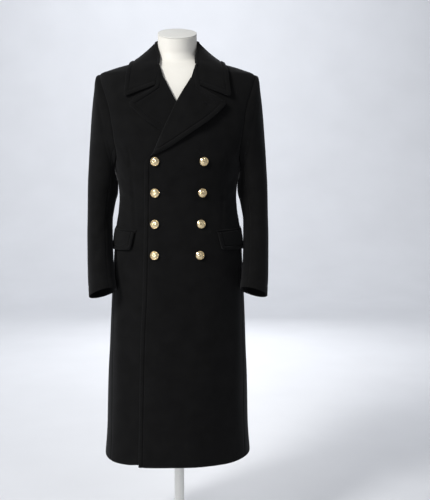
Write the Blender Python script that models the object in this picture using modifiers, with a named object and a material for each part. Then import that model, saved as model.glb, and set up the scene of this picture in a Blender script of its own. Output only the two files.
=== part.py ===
"""Long double-breasted military coat on a limbless dress form with a pole stand.

Metres, +Z up. The coat faces -Y and the wearer's left is +X. The origin is the centre of the
underside of the stand's base. Every cloth piece is a wall over a grid of points, which is read
from one surface for the body and one for the sleeves.
"""
from collections import namedtuple
from math import acos, asin, atan, copysign, cos, pi, radians, sin, sqrt

import bmesh
import bpy
from mathutils import Vector

COLLECTION = "military_coat_on_dress_form"

# Cloth
CLOTH = 0.0026          # wall of one layer of melton
DOUBLE = 0.0036         # wall of two layers pressed flat: collar, lapels and flaps
SEAM_GAP = 0.0003       # between two pieces that are sewn together
LAYER_GAP = 0.0016      # between two pieces that lie on each other
EDGE_GAP = 0.0004       # the same, where the upper piece is sewn down

# Front
HEM = 0.300
BREAK = 1.185           # height where the lapels start to roll back
OVERLAP_START = 0.018   # past the under front's edge, the upper front starts to come down
OVERLAP_FADE = 0.070    # and over this width it comes down to the body
LAPEL_STAND_OFF = 0.007
COLLAR_STAND_OFF = 0.005

# Collar
ROLL_RADIUS = 0.0042
COLLAR_SAG = 0.004
CREST_SHARE = 0.25      # share of the collar's section that lies in the fold
END_START = 0.55        # station where the collar's lines begin to turn to its front end
EDGE_REACH = 0.07       # stations to each side over which its outer edge is evened out
EDGE_SPRING = (0.5, 0.8)  # stations between which the outer edge comes to its full stand-off
EDGE_WEIGHTS = ((-1.0, 0.25), (0.0, 0.5), (1.0, 0.25))
SHOULDER_RIDGE = (1.470, 1.480)     # heights between which the collar leaves the shoulder

LEAST_RADIUS = 0.004    # of the body's rings above the neck, for distances
PUSH_SOFTNESS = 0.001

# Sleeves
ARMHOLE_TOP = 1.431
ARMHOLE_FOOT = 1.160
SLEEVE_STANDS_OUT = 0.0005
SLEEVE_RADIUS = 0.07
FRONT_SLEEVE_SEAM = 1.220   # height on the armhole where the front seam starts
BACK_SLEEVE_SEAM = 1.260    # the same for the back seam

# Pocket flaps
FLAP_TOP = 0.976
FLAP_DEPTHS = (0.052, 0.061)        # at its front edge and at the side
FLAP_FRONT_X = {"right": 0.1225, "left": 0.1105}
FLAP_SLANT = 0.011
FLAP_REAR_TURN = 97
FLAP_CORNER = 0.010

# Buttons
BUTTON_RADIUS = 0.0125
BUTTON_STEPS = 16
BUTTON_HEIGHTS = (1.180, 1.090, 1.001, 0.913)
BUTTON_COLUMNS = {"right": (-0.0625, -0.0655), "left": (0.0708, 0.0597)}

# Stand
FORM_FOOT = 0.800
FORM_CAP = 0.003
POLE_RADIUS = 0.015
BASE_RADIUS = 0.170
BOSS_HEIGHT = 0.036
BASE_STEPS = 48
FORM_STEPS = 28

# Body of the coat, a row for each level ring: half the width, the depths in front and behind, and
# the power of the rounded outline, 2 for an ellipse and more for a squarer one
BODY_COLUMNS = ("height", "half_width", "front_depth", "back_depth", "squareness")
BODY_ROWS = (
    (0.300, 0.2210, 0.206, 0.206, 2.05),
    (0.380, 0.2150, 0.198, 0.198, 2.05),
    (0.570, 0.2085, 0.186, 0.184, 2.10),
    (0.756, 0.2000, 0.173, 0.169, 2.10),
    (0.909, 0.1915, 0.162, 0.156, 2.15),
    (0.970, 0.1870, 0.157, 0.148, 2.20),
    (1.000, 0.1825, 0.153, 0.142, 2.20),
    (1.030, 0.1775, 0.150, 0.137, 2.20),
    (1.070, 0.1745, 0.147, 0.133, 2.20),
    (1.110, 0.1775, 0.146, 0.134, 2.20),
    (1.160, 0.1870, 0.147, 0.141, 2.25),
    (1.200, 0.1980, 0.147, 0.147, 2.30),
    (1.250, 0.2150, 0.146, 0.151, 2.30),
    (1.320, 0.2310, 0.136, 0.150, 2.30),
    (1.380, 0.2345, 0.118, 0.139, 2.25),
    (1.410, 0.2320, 0.104, 0.128, 2.20),
    (1.431, 0.2260, 0.092, 0.117, 2.15),
    (1.4435, 0.1960, 0.083, 0.106, 2.10),
    (1.4545, 0.1605, 0.074, 0.096, 2.05),
    (1.4665, 0.1100, 0.063, 0.086, 2.00),
    (1.4740, 0.0750, 0.055, 0.080, 2.00),
    (1.4900, 0.0200, 0.030, 0.040, 2.00),
)

# Inner edge of a front, as its distance from the centre towards the wearer's own side. It is the
# lapped edge up to the break, then the roll of the lapel, then the neck seam
FRONT_COLUMNS = ("height", "x")
FRONT_ROWS = (
    (0.300, -0.1170),
    (0.671, -0.1075),
    (0.787, -0.1015),
    (1.000, -0.0955),
    (1.170, -0.0905),
    (1.190, -0.0845),
    (1.2004, -0.0740),
    (1.342, -0.0060),
    (1.397, 0.0268),
    (1.4264, 0.0413),
    (1.4400, 0.0545),
    (1.4535, 0.0640),
    (1.4655, 0.0697),
    (1.4735, 0.0725),
)

# Side seam, as degrees round the body from the centre front
SIDE_COLUMNS = ("height", "turn")
SIDE_ROWS = ((0.300, 61), (0.770, 70), (0.970, 73), (1.100, 82), (1.160, 90))

# Armhole, as degrees round the body from the centre front
ARMHOLE_COLUMNS = ("height", "front_turn", "back_turn")
ARMHOLE_ROWS = (
    (1.160, 90.0, 90),
    (1.166, 78.0, 100),
    (1.178, 69.0, 110),
    (1.200, 62.5, 116),
    (1.250, 57.5, 120),
    (1.310, 55.5, 122),
    (1.340, 57.5, 121),
    (1.380, 64.0, 115),
    (1.410, 73.5, 105),
    (1.424, 82.0, 97),
    (1.431, 90.0, 90),
)

# Sleeve, a row for each ring from the armhole to the cuff. outer and inner are the ring's points
# away from the body and next to it. armhole is how much of the armhole's own curve the ring has,
# and rise lifts the ring's front edge
SLEEVE_COLUMNS = ("station", "outer_x", "outer_z", "inner_x", "inner_z", "middle_y", "half_depth",
                  "armhole", "rise")
SLEEVE_ROWS = (
    (0, 0.2265, 1.4310, 0.1875, 1.1604, 0.000, 0.078, 1.00, 0.00),
    (1, 0.2370, 1.4255, 0.1872, 1.1490, 0.002, 0.079, 0.72, 0.00),
    (2, 0.2412, 1.4130, 0.1848, 1.1370, 0.004, 0.080, 0.40, 0.00),
    (3, 0.2450, 1.3860, 0.1816, 1.1250, 0.005, 0.080, 0.15, 0.00),
    (4, 0.2500, 1.3500, 0.1792, 1.1130, 0.005, 0.078, 0.00, 0.00),
    (5, 0.2550, 1.3000, 0.1784, 1.0980, 0.004, 0.074, 0.00, 0.00),
    (6, 0.2595, 1.2400, 0.1796, 1.0800, 0.003, 0.071, 0.00, 0.00),
    (7, 0.2635, 1.1750, 0.1850, 1.0600, 0.000, 0.069, 0.00, 0.00),
    (8, 0.2675, 1.1050, 0.1905, 1.0330, -0.005, 0.067, 0.00, 0.00),
    (9, 0.2685, 1.0350, 0.1950, 0.9980, -0.014, 0.065, 0.00, 0.00),
    (10, 0.2690, 0.9700, 0.1940, 0.9550, -0.031, 0.063, 0.00, 0.05),
    (11, 0.2675, 0.9000, 0.1918, 0.9000, -0.054, 0.060, 0.00, 0.13),
    (12, 0.2650, 0.8380, 0.1868, 0.8500, -0.079, 0.057, 0.00, 0.25),
    (13, 0.2610, 0.7840, 0.1800, 0.8080, -0.100, 0.055, 0.00, 0.35),
)

# Collar from the centre back to its front end: the crest of its fold, the foot of its stand on the
# body, and its outer edge on the body
COLLAR_COLUMNS = ("station", "crest_x", "crest_y", "crest_z", "foot_turn", "foot_z", "edge_turn",
                  "edge_z")
COLLAR_ROWS = (
    (-0.14, -0.0340, 0.0570, 1.5360, 208.0, 1.4742, 208.0, 1.4520),
    (0.00, 0.0000, 0.0660, 1.5370, 180.0, 1.4742, 180.0, 1.4530),
    (0.14, 0.0340, 0.0570, 1.5360, 152.0, 1.4742, 152.0, 1.4520),
    (0.28, 0.0565, 0.0320, 1.5320, 122.0, 1.4742, 123.0, 1.4545),
    (0.40, 0.0625, 0.0000, 1.5250, 93.0, 1.4742, 94.0, 1.4606),
    (0.52, 0.0605, -0.0210, 1.5100, 66.0, 1.4742, 63.5, 1.4562),
    (0.64, 0.0565, -0.0370, 1.4940, 45.0, 1.4710, 45.6, 1.4440),
    (0.76, 0.0540, -0.0490, 1.4810, 33.0, 1.4665, 37.0, 1.4240),
    (0.88, 0.0535, -0.0600, 1.4715, 27.0, 1.4625, 36.4, 1.3930),
    (1.00, 0.0548, -0.0740, 1.4620, 25.0, 1.4580, 37.0, 1.3585),
)

# Front end of the collar from its fold to its outer corner, as seen from the front
COLLAR_END_COLUMNS = ("share", "x", "z")
COLLAR_END_ROWS = ((0.00, 0.0580, 1.4580), (0.18, 0.0570, 1.4330), (0.43, 0.0640, 1.3930),
                   (1.00, 0.1500, 1.3585))

# Lapel from the break up to the neck, as seen from the front: its roll and its outer edge, with
# the tip at 0.78, the notch at 0.93 and the foot of the collar seam at 0.96
LAPEL_COLUMNS = ("along", "roll_x", "roll_z", "edge_x", "edge_z")
LAPEL_ROWS = (
    (0.00, -0.0800, 1.1945, -0.0720, 1.1970),
    (0.10, -0.0718, 1.2050, -0.0430, 1.2080),
    (0.25, -0.0600, 1.2296, -0.0060, 1.2305),
    (0.40, -0.0461, 1.2585, 0.0350, 1.2580),
    (0.60, -0.0270, 1.2983, 0.0830, 1.2905),
    (0.69, -0.0165, 1.3202, 0.1065, 1.3100),
    (0.78, -0.0060, 1.3420, 0.1370, 1.3410),
    (0.86, 0.0135, 1.3750, 0.1000, 1.3650),
    (0.93, 0.0268, 1.3970, 0.0625, 1.3895),
    (0.96, 0.0385, 1.4200, 0.0545, 1.4300),
    (1.00, 0.0470, 1.4490, 0.0525, 1.4520),
)

# Dress form, a row for each level ring. tilt slants the neck's top towards the front
FORM_COLUMNS = ("height", "half_width", "front_depth", "back_depth", "middle_y", "tilt")
FORM_ROWS = (
    (0.800, 0.146, 0.106, 0.112, 0.000, 0.0),
    (0.850, 0.154, 0.118, 0.122, 0.000, 0.0),
    (0.930, 0.155, 0.120, 0.123, 0.000, 0.0),
    (1.000, 0.146, 0.114, 0.112, 0.000, 0.0),
    (1.070, 0.138, 0.112, 0.104, 0.000, 0.0),
    (1.140, 0.145, 0.116, 0.107, 0.000, 0.0),
    (1.210, 0.160, 0.125, 0.119, 0.000, 0.0),
    (1.280, 0.176, 0.128, 0.133, 0.000, 0.0),
    (1.340, 0.190, 0.121, 0.137, 0.000, 0.0),
    (1.385, 0.199, 0.108, 0.130, 0.000, 0.0),
    (1.415, 0.199, 0.094, 0.119, 0.000, 0.0),
    (1.431, 0.190, 0.084, 0.109, 0.000, 0.0),
    (1.4410, 0.172, 0.078, 0.101, 0.000, 0.0),
    (1.4510, 0.1440, 0.0700, 0.0920, 0.000, 0.0),
    (1.4620, 0.1020, 0.0595, 0.0820, 0.000, 0.0),
    (1.4720, 0.0690, 0.0560, 0.0700, 0.002, 0.0),
    (1.4860, 0.0600, 0.0560, 0.0590, 0.003, 0.0),
    (1.5050, 0.0573, 0.0565, 0.0565, 0.000, 0.10),
    (1.5470, 0.0570, 0.0570, 0.0570, -0.008, 0.36),
)

BODY_HEIGHTS = (HEM, 0.33, 0.38, 0.46, 0.54, 0.62, 0.70, 0.78, 0.86, 0.92, 0.98, 1.02, 1.06, 1.10,
                1.135)
ARMHOLE_HEIGHTS = (ARMHOLE_FOOT, 1.170, 1.190, FRONT_SLEEVE_SEAM, BACK_SLEEVE_SEAM, 1.300, 1.342,
                   1.375, 1.400, 1.420, ARMHOLE_TOP)
SHOULDER_HEIGHTS = (1.4435, 1.4545, 1.4655, 1.4735)

MATERIALS = {
    "melton": ((0.012, 0.012, 0.014), 0.92, 0.0),
    "brass": ((0.83, 0.60, 0.28), 0.28, 1.0),
    "form_cloth": ((0.83, 0.82, 0.79), 0.80, 0.0),
    "white_lacquer": ((0.86, 0.86, 0.85), 0.35, 0.0),
}


class Table:
    """Rows of a short table, read at any value of the first column.

    A smooth table never swings past its own values, and a plain one runs straight between rows.
    """

    def __init__(self, columns, rows, smooth=True):
        self.keys = [row[0] for row in rows]
        self.row_type = namedtuple("Row", columns[1:])
        self.columns = [list(values) for values in zip(*rows)][1:]
        self.smooth = smooth
        self.slopes = [self.column_slopes(values) for values in self.columns]

    def column_slopes(self, values):
        """Slope at each row: the harmonic mean of the two steps beside it."""
        steps = [(b - a) / (self.keys[i + 1] - self.keys[i])
                 for i, (a, b) in enumerate(zip(values, values[1:]))]
        inner = [2 * p * q / (p + q) if p * q > 0 else 0.0 for p, q in zip(steps, steps[1:])]
        return [steps[0], *inner, steps[-1]]

    def at(self, key):
        """Named values of the row that belongs at key."""
        last = len(self.keys) - 2
        index = min(max(sum(1 for k in self.keys if k <= key) - 1, 0), last)
        start = self.keys[index]
        width = self.keys[index + 1] - start
        share = (key - start) / width
        outside = share < 0 or share > 1
        values = []
        for column, slopes in zip(self.columns, self.slopes):
            a = column[index]
            b = column[index + 1]
            if outside or not self.smooth:
                values.append(a + (b - a) * share)
                continue
            rise_a = slopes[index] * width
            rise_b = slopes[index + 1] * width
            bend = (2 * share - 3) * share * share
            values.append(a + (a - b) * bend
                          + rise_a * share * (1 - share) ** 2
                          - rise_b * share * share * (1 - share))
        return self.row_type(*values)


BODY = Table(BODY_COLUMNS, BODY_ROWS)
FRONT = Table(FRONT_COLUMNS, FRONT_ROWS)
SIDE = Table(SIDE_COLUMNS, SIDE_ROWS)
ARMHOLE = Table(ARMHOLE_COLUMNS, ARMHOLE_ROWS)
SLEEVE = Table(SLEEVE_COLUMNS, SLEEVE_ROWS)
COLLAR = Table(COLLAR_COLUMNS, COLLAR_ROWS)
COLLAR_END = Table(COLLAR_END_COLUMNS, COLLAR_END_ROWS, smooth=False)
LAPEL = Table(LAPEL_COLUMNS, LAPEL_ROWS, smooth=False)


def fade(value, start, end):
    """0 before start, 1 after end, and a soft step between."""
    share = min(max((value - start) / (end - start), 0.0), 1.0)
    return share * share * (3 - 2 * share)


def mix(a, b, share):
    return a + (b - a) * share


def evenly(start, end, count):
    """Count + 1 values from start to end."""
    return [mix(start, end, i / count) for i in range(count + 1)]


def mirrored(point, side):
    return Vector((point.x * side, point.y, point.z))


def rounded_ring(turn, half_width, front_depth, back_depth, squareness=2.0):
    """Point of a rounded outline. turn is in radians from the front, towards +X."""
    power = 2 / squareness
    depth = front_depth if cos(turn) > 0 else back_depth
    return (half_width * copysign(abs(sin(turn)) ** power, sin(turn)),
            -depth * copysign(abs(cos(turn)) ** power, cos(turn)))


def normal_of(surface, u, v, step_u, step_v):
    """Normal of a surface of two values, found from points a small step to each side."""
    across = surface(u + step_u, v) - surface(u - step_u, v)
    along = surface(u, v + step_v) - surface(u, v - step_v)
    return across.cross(along).normalized()


def body_point(turn, height):
    ring = BODY.at(height)
    x, y = rounded_ring(turn, *ring)
    return Vector((x, y, height))


def body_normal(turn, height):
    return normal_of(body_point, turn, height, 0.01, 0.001)


def turn_at(x, height):
    """Turn of the point of the body's front at a distance from the centre."""
    ring = BODY.at(height)
    share = min(abs(x) / ring.half_width, 1.0)
    return copysign(asin(share ** (ring.squareness / 2)), x)


def distance_off_body(point):
    """Signed distance from the body, good near it."""
    def outline(p):
        ring = BODY.at(p.z)
        x = abs(p.x) / max(ring.half_width, LEAST_RADIUS)
        y = abs(p.y) / max(ring.front_depth if p.y < 0 else ring.back_depth, LEAST_RADIUS)
        return (x ** ring.squareness + y ** ring.squareness) ** (1 / ring.squareness)
    step = 0.0005
    here = outline(point)
    slope = Vector([(outline(point + axis * step) - outline(point - axis * step)) / (2 * step)
                    for axis in (Vector((1, 0, 0)), Vector((0, 1, 0)), Vector((0, 0, 1)))])
    return (here - 1) / slope.length, slope.normalized()


def pushed_off_body(point, clearance):
    """The point, moved out softly where it is nearer to the body than clearance."""
    for _ in range(3):
        distance, out = distance_off_body(point)
        short = clearance - distance
        point = point + out * (short + sqrt(short * short + PUSH_SOFTNESS ** 2)) / 2
    return point


def front_cover(side, x, height):
    """How far a front lies off the body: the wearer's left front laps over the right one."""
    if side < 0:
        return 0.0
    under_edge = -FRONT.at(height).x
    layers = CLOTH + LAYER_GAP + (DOUBLE + LAYER_GAP) * fade(height, BREAK - 0.07, BREAK)
    start = under_edge + OVERLAP_START
    return layers * (1 - fade(x, start, start + OVERLAP_FADE))


def front_point(side, turn, height, lift):
    """Point of a front, moved out by lift."""
    on_body = body_point(turn, height)
    out = front_cover(side, on_body.x, height) + lift
    return mirrored(on_body + body_normal(turn, height) * out, side)


def front_turns(height):
    """Turns of a front's inner and outer edges."""
    if height <= ARMHOLE_FOOT:
        outer = radians(SIDE.at(height).turn)
    elif height < ARMHOLE_TOP:
        outer = radians(ARMHOLE.at(height).front_turn)
    else:
        outer = pi / 2
    return turn_at(FRONT.at(height).x, height), outer


def back_turns(height):
    """Turns of a back's outer edge and of the centre back."""
    if height <= ARMHOLE_FOOT:
        outer = radians(SIDE.at(height).turn)
    elif height < ARMHOLE_TOP:
        outer = radians(ARMHOLE.at(height).back_turn)
    else:
        outer = pi / 2
    return outer, pi


def seam_turn(height):
    """Turn that half a seam gap takes at the side."""
    ring = BODY.at(height)
    return SEAM_GAP / (ring.half_width + ring.back_depth)


def new_object(name, mesh, material, smooth=True):
    """Link a mesh as a named sub-part."""
    if smooth:
        mesh.shade_smooth()
        mesh.set_sharp_from_angle(angle=radians(40))
    item = bpy.data.objects.new(name, mesh)
    item.data.materials.append(bpy.data.materials[material])
    bpy.data.collections[COLLECTION].objects.link(item)
    return item


def cloth_wall(name, point, across, along, wall):
    """A wall of cloth between a face grid and its back, closed round the rim.

    point(u, v, lift) gives the face at lift 0, and the wall goes to the inside from there.
    """
    mesh = bpy.data.meshes.new(name)
    form = bmesh.new()
    face = [[form.verts.new(point(u, v, 0.0)) for u in across] for v in along]
    back = [[form.verts.new(point(u, v, -wall)) for u in across] for v in along]
    for j in range(len(along) - 1):
        for i in range(len(across) - 1):
            form.faces.new((face[j][i], face[j][i + 1], face[j + 1][i + 1], face[j + 1][i]))
            form.faces.new((back[j][i], back[j + 1][i], back[j + 1][i + 1], back[j][i + 1]))
    rim = [(0, i) for i in range(len(across) - 1)]
    rim += [(j, len(across) - 1) for j in range(len(along) - 1)]
    rim += [(len(along) - 1, i) for i in range(len(across) - 1, 0, -1)]
    rim += [(j, 0) for j in range(len(along) - 1, 0, -1)]
    for (j, i), (next_j, next_i) in zip(rim, rim[1:] + rim[:1]):
        form.faces.new((face[j][i], back[j][i], back[next_j][next_i], face[next_j][next_i]))
    bmesh.ops.recalc_face_normals(form, faces=form.faces)
    form.to_mesh(mesh)
    form.free()
    return new_object(name, mesh, "melton")


def front(name, side):
    """One front, from its edge to the side seam, the armhole and the shoulder seam."""
    def point(share, height, lift):
        inner, outer = front_turns(height)
        turn = mix(inner, outer - seam_turn(height), share)
        return front_point(side, turn, height, lift)
    heights = BODY_HEIGHTS + ARMHOLE_HEIGHTS + SHOULDER_HEIGHTS
    shares = (0, 0.05, 0.1, 0.16, 0.23, 0.31, 0.4, 0.5, 0.62, 0.75, 0.88, 1)
    cloth_wall(name, point, shares, heights, CLOTH)


def back(name, side):
    """One back, from the side seam, the armhole and the shoulder seam to the centre back."""
    def point(share, height, lift):
        outer, centre = back_turns(height)
        turn = mix(outer + seam_turn(height), centre - seam_turn(height), share)
        return mirrored(body_point(turn, height) + body_normal(turn, height) * lift, side)
    heights = BODY_HEIGHTS + ARMHOLE_HEIGHTS + SHOULDER_HEIGHTS
    cloth_wall(name, point, evenly(0, 1, 8), heights, CLOTH)


def armhole_angle(height):
    """Angle round the sleeve of the armhole's point at a height, 0 at the shoulder."""
    middle = (ARMHOLE_TOP + ARMHOLE_FOOT) / 2
    return acos(min(max((height - middle) / (ARMHOLE_TOP - middle), -1.0), 1.0))


def armhole_point(around):
    """Point of the armhole. around is positive in front and negative behind."""
    middle = (ARMHOLE_TOP + ARMHOLE_FOOT) / 2
    height = middle + (ARMHOLE_TOP - middle) * cos(around)
    row = ARMHOLE.at(height)
    turn = radians(row.front_turn if around > 0 else row.back_turn)
    return body_point(turn, height), body_normal(turn, height)


def sleeve_ring(around, ring):
    """Point of a plain sleeve ring."""
    middle_x = (ring.outer_x + ring.inner_x) / 2
    middle_z = (ring.outer_z + ring.inner_z) / 2
    return Vector((middle_x + (ring.outer_x - ring.inner_x) / 2 * cos(around),
                   ring.middle_y - ring.half_depth * sin(around),
                   middle_z + (ring.outer_z - ring.inner_z) / 2 * cos(around)
                   + ring.rise * ring.half_depth * sin(around)))


def sleeve_surface(around, station):
    ring = SLEEVE.at(station)
    to_armhole = armhole_point(around)[0] - sleeve_ring(around, SLEEVE.at(0))
    to_armhole.x += SLEEVE_STANDS_OUT
    return sleeve_ring(around, ring) + to_armhole * ring.armhole


def sleeve_point(side, around, station, lift):
    """Point of a sleeve, moved out by lift."""
    step = 0.02
    near = max(station, step)
    out = normal_of(lambda a, s: sleeve_surface(a, s), around, near, -step, -step)
    at_seam = SLEEVE.at(station).armhole * max(cos(around), 0.0)
    out = (out.lerp(armhole_point(around)[1], at_seam)).normalized()
    return mirrored(sleeve_surface(around, station) + out * lift, side)


def sleeve(side_name, side):
    """A top piece over the arm and an under piece next to the body."""
    angles = [armhole_angle(height) for height in ARMHOLE_HEIGHTS]
    front_seam = armhole_angle(FRONT_SLEEVE_SEAM)
    back_seam = armhole_angle(BACK_SLEEVE_SEAM)
    gap = SEAM_GAP / 2 / SLEEVE_RADIUS
    least = 0.01
    in_front = sorted(a for a in angles if least < a < front_seam - least)
    behind = sorted(-a for a in angles if least < a < back_seam - least)
    top = [gap - back_seam, *behind, 0.0, *in_front, front_seam - gap]
    below = sorted(a for a in angles if front_seam + least < a)
    below += sorted(2 * pi - a for a in angles if back_seam + least < a < pi - least)
    under = [front_seam + gap, *below, 2 * pi - back_seam - gap]
    stations = [row[0] for row in SLEEVE_ROWS]

    def point(around, station, lift):
        turned = around if around <= pi else around - 2 * pi
        return sleeve_point(side, turned, station, lift)
    cloth_wall(f"sleeve_{side_name}_top", point, top, stations, CLOTH)
    cloth_wall(f"sleeve_{side_name}_under", point, under, stations, CLOTH)


def collar_section(station):
    """Foot, crest and outer edge of the collar at a station, and the way its fold faces."""
    row = COLLAR.at(station)
    foot = body_point(radians(row.foot_turn), row.foot_z)
    crest = Vector((row.crest_x, row.crest_y, row.crest_z))
    edge = Vector()
    reach = EDGE_REACH * min(max((1 - station) / 0.1, 0.0), 1.0)
    for offset, weight in EDGE_WEIGHTS:
        near = station + offset * reach
        row = COLLAR.at(near)
        turn = radians(row.edge_turn)
        lie = LAYER_GAP + DOUBLE + COLLAR_STAND_OFF * fade(near, *EDGE_SPRING)
        edge += (body_point(turn, row.edge_z) + body_normal(turn, row.edge_z) * lie) * weight
    outward = Vector((edge.x - crest.x, edge.y - crest.y, 0)).normalized()
    return foot, crest, edge, outward


def collar_end(share):
    """Point of the collar's front end, lying on the front."""
    row = COLLAR_END.at(share)
    turn = turn_at(row.x, row.z)
    lie = LAYER_GAP + DOUBLE + COLLAR_STAND_OFF * fade(share, 0.45, 1.0)
    return body_point(turn, row.z) + body_normal(turn, row.z) * lie


def collar_surface(across, station):
    """Face of the collar: the stand below -CREST_SHARE, the fold, then the fall."""
    foot, crest, edge, outward = collar_section(station)
    up = Vector((0, 0, 1))
    centre = crest - up * ROLL_RADIUS
    if across < -CREST_SHARE:
        share = (across + 1) / (1 - CREST_SHARE)
        return foot.lerp(centre - outward * ROLL_RADIUS, share)
    if across < CREST_SHARE:
        angle = pi * (CREST_SHARE - across) / (2 * CREST_SHARE)
        return centre + (outward * cos(angle) + up * sin(angle)) * ROLL_RADIUS
    share = (across - CREST_SHARE) / (1 - CREST_SHARE)
    start = centre + outward * ROLL_RADIUS
    point = start.lerp(edge, share) - up * COLLAR_SAG * sin(pi * share) * (1 - station)
    _, last_crest, last_edge, last_outward = collar_section(1.0)
    last_start = last_crest + (last_outward - up) * ROLL_RADIUS
    turned = collar_end(share) - last_start.lerp(last_edge, share)
    turned -= (collar_end(0.0) - last_start) * (1 - fade(share, 0.0, 0.15))
    point = point + turned * fade(station, END_START, 1.0) ** 1.5
    low = fade(share, 0.0, 0.12) * (1 - fade(point.z, *SHOULDER_RIDGE))
    pushed = pushed_off_body(point, (LAYER_GAP + DOUBLE) * fade(share, 0.0, 0.2))
    return point.lerp(pushed, low)


def collar_point(across, station, lift):
    """Point of the collar on either side, moved out by lift."""
    side = -1 if station < 0 else 1
    near = min(max(abs(station), 0.003), 0.997)
    out = normal_of(lambda s, a: collar_surface(a, s), near, across, 0.003, 0.003)
    if station == 0:
        out.x = 0
        out.normalize()
    point = collar_surface(across, abs(station))
    flat_end = fade(abs(station), 0.8, 0.95) * fade(across, CREST_SHARE, CREST_SHARE + 0.1)
    if flat_end > 0:
        out = out.lerp(distance_off_body(point)[1], flat_end).normalized()
    return mirrored(point + out * lift, side)


def collar():
    """Stand, fold and fall in one folded wall from one front end to the other."""
    shares = (0.0, 0.18, 0.43, 0.62, 0.81, 1.0)
    fall = [CREST_SHARE + (1 - CREST_SHARE) * share for share in shares]
    across = [-0.995, -0.6, -CREST_SHARE, -0.14, 0.0, 0.14, *fall[:-1], 0.995]
    half = [0.0, 0.09, 0.18, 0.28, 0.37, 0.45, 0.52, 0.58, 0.64, 0.70, 0.76, 0.82, 0.88, 0.94, 1.0]
    stations = [-value for value in reversed(half[1:])] + half
    cloth_wall("collar", collar_point, across, stations, DOUBLE)


def lapel_stand_off(side, x, height, across, along):
    """How far the lapel's free edge springs off the front, less under the other front."""
    free = LAPEL_STAND_OFF * across ** 2 * fade(along, 0.05, 0.6) * (1 - fade(along, 0.82, 0.93))
    if side < 0:
        cover = -FRONT.at(height).x
        free *= fade(x, cover + 0.002, cover + 0.055)
    return free


def lapel(side_name, side):
    """The turned-back facing of a front, made from the front's points moved out."""
    def point(across, along, lift):
        row = LAPEL.at(along)
        x = mix(row.roll_x, row.edge_x, across)
        height = mix(row.roll_z, row.edge_z, across)
        lie = mix(EDGE_GAP, LAYER_GAP, fade(across, 0.0, 0.3)) + DOUBLE
        lie += lapel_stand_off(side, x, height, across, along)
        return front_point(side, turn_at(x, height), height, lie + lift)
    stations = [row[0] for row in LAPEL_ROWS]
    cloth_wall(f"lapel_{side_name}", point, (0.0, 0.15, 0.3, 0.5, 0.7, 0.87, 1.0), stations, DOUBLE)


def pocket_flap(side_name, side):
    """A flap over the pocket, sewn along its top, with rounded lower corners."""
    def point(across, down, lift):
        height = FLAP_TOP - mix(*FLAP_DEPTHS, across) * down
        corner = FLAP_CORNER * (1 - sqrt(max(1 - fade(down, 0.75, 1.0) ** 2, 0.0))) * 0.6
        first = turn_at(FLAP_FRONT_X[side_name] + FLAP_SLANT * down + corner, height)
        last = radians(FLAP_REAR_TURN) - corner / 0.19
        lie = EDGE_GAP + (LAYER_GAP - EDGE_GAP) * fade(down, 0.0, 0.4) + DOUBLE
        return front_point(side, mix(first, last, across), height, lie + lift)
    cloth_wall(f"pocket_flap_{side_name}", point, evenly(0, 1, 8), (0, 0.3, 0.65, 0.9, 1), DOUBLE)


def turned_mesh(name, profile):
    """A profile turned round Z. It runs down the outer side, from top to bottom."""
    mesh = bpy.data.meshes.new(name)
    mesh.from_pydata([(radius, 0, height) for radius, height in profile],
                     [(i, i + 1) for i in range(len(profile) - 1)], [])
    return mesh


def turned(name, mesh, steps, material):
    """A turned sub-part."""
    item = new_object(name, mesh, material, smooth=False)
    screw = item.modifiers.new("Turn", "SCREW")
    screw.steps = steps
    screw.render_steps = steps
    screw.use_merge_vertices = True
    screw.merge_threshold = 0.00005
    screw.use_smooth_shade = True
    return item


def buttons():
    """Domed metal buttons with a rim, each on a short shank, all on the upper front."""
    radius = BUTTON_RADIUS
    profile = ((0.0, 0.0098), (0.40 * radius, 0.0093), (0.75 * radius, 0.0075),
               (0.90 * radius, 0.0056), (radius, 0.0050), (radius, 0.0038), (0.80 * radius, 0.0026),
               (0.0028, 0.0024), (0.0028, 0.0), (0.0, 0.0))
    mesh = turned_mesh("button", profile)
    for column, (top_x, bottom_x) in BUTTON_COLUMNS.items():
        for index, height in enumerate(BUTTON_HEIGHTS):
            share = (BUTTON_HEIGHTS[0] - height) / (BUTTON_HEIGHTS[0] - BUTTON_HEIGHTS[-1])
            turn = turn_at(mix(top_x, bottom_x, share), height)
            item = turned(f"button_{column}_{index + 1}", mesh, BUTTON_STEPS, "brass")
            item.location = front_point(1, turn, height, SEAM_GAP)
            item.rotation_mode = "QUATERNION"
            item.rotation_quaternion = body_normal(turn, height).to_track_quat("Z", "Y")


def dress_form():
    """Limbless body with its neck, from level rings."""
    turns = [radians(360 * i / FORM_STEPS) for i in range(FORM_STEPS)]
    mesh = bpy.data.meshes.new("form_body")
    form = bmesh.new()
    rings = []
    for row in FORM_ROWS:
        height, half_width, front_depth, back_depth, middle_y, tilt = row
        ring = []
        for turn in turns:
            x, y = rounded_ring(turn, half_width, front_depth, back_depth)
            ring.append(form.verts.new((x, y + middle_y, height + tilt * y)))
        rings.append(ring)
    for lower, upper in zip(rings, rings[1:]):
        for i, vert in enumerate(lower):
            j = (i + 1) % len(lower)
            form.faces.new((vert, lower[j], upper[j], upper[i]))
    form.faces.new(rings[0])
    form.faces.new(rings[-1])
    bmesh.ops.recalc_face_normals(form, faces=form.faces)
    form.to_mesh(mesh)
    form.free()
    new_object("form_body", mesh, "form_cloth")


def neck_cap():
    """A thin disc on the slanted top of the neck."""
    height, radius, _, _, middle_y, tilt = FORM_ROWS[-1]
    slant = atan(tilt)
    lift = SEAM_GAP + FORM_CAP / 2
    bpy.ops.mesh.primitive_cylinder_add(
        vertices=FORM_STEPS, radius=radius, depth=FORM_CAP,
        location=(0, middle_y - lift * sin(slant), height + lift * cos(slant)),
        rotation=(slant, 0, 0))
    adopt("form_neck_cap", "white_lacquer")


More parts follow.
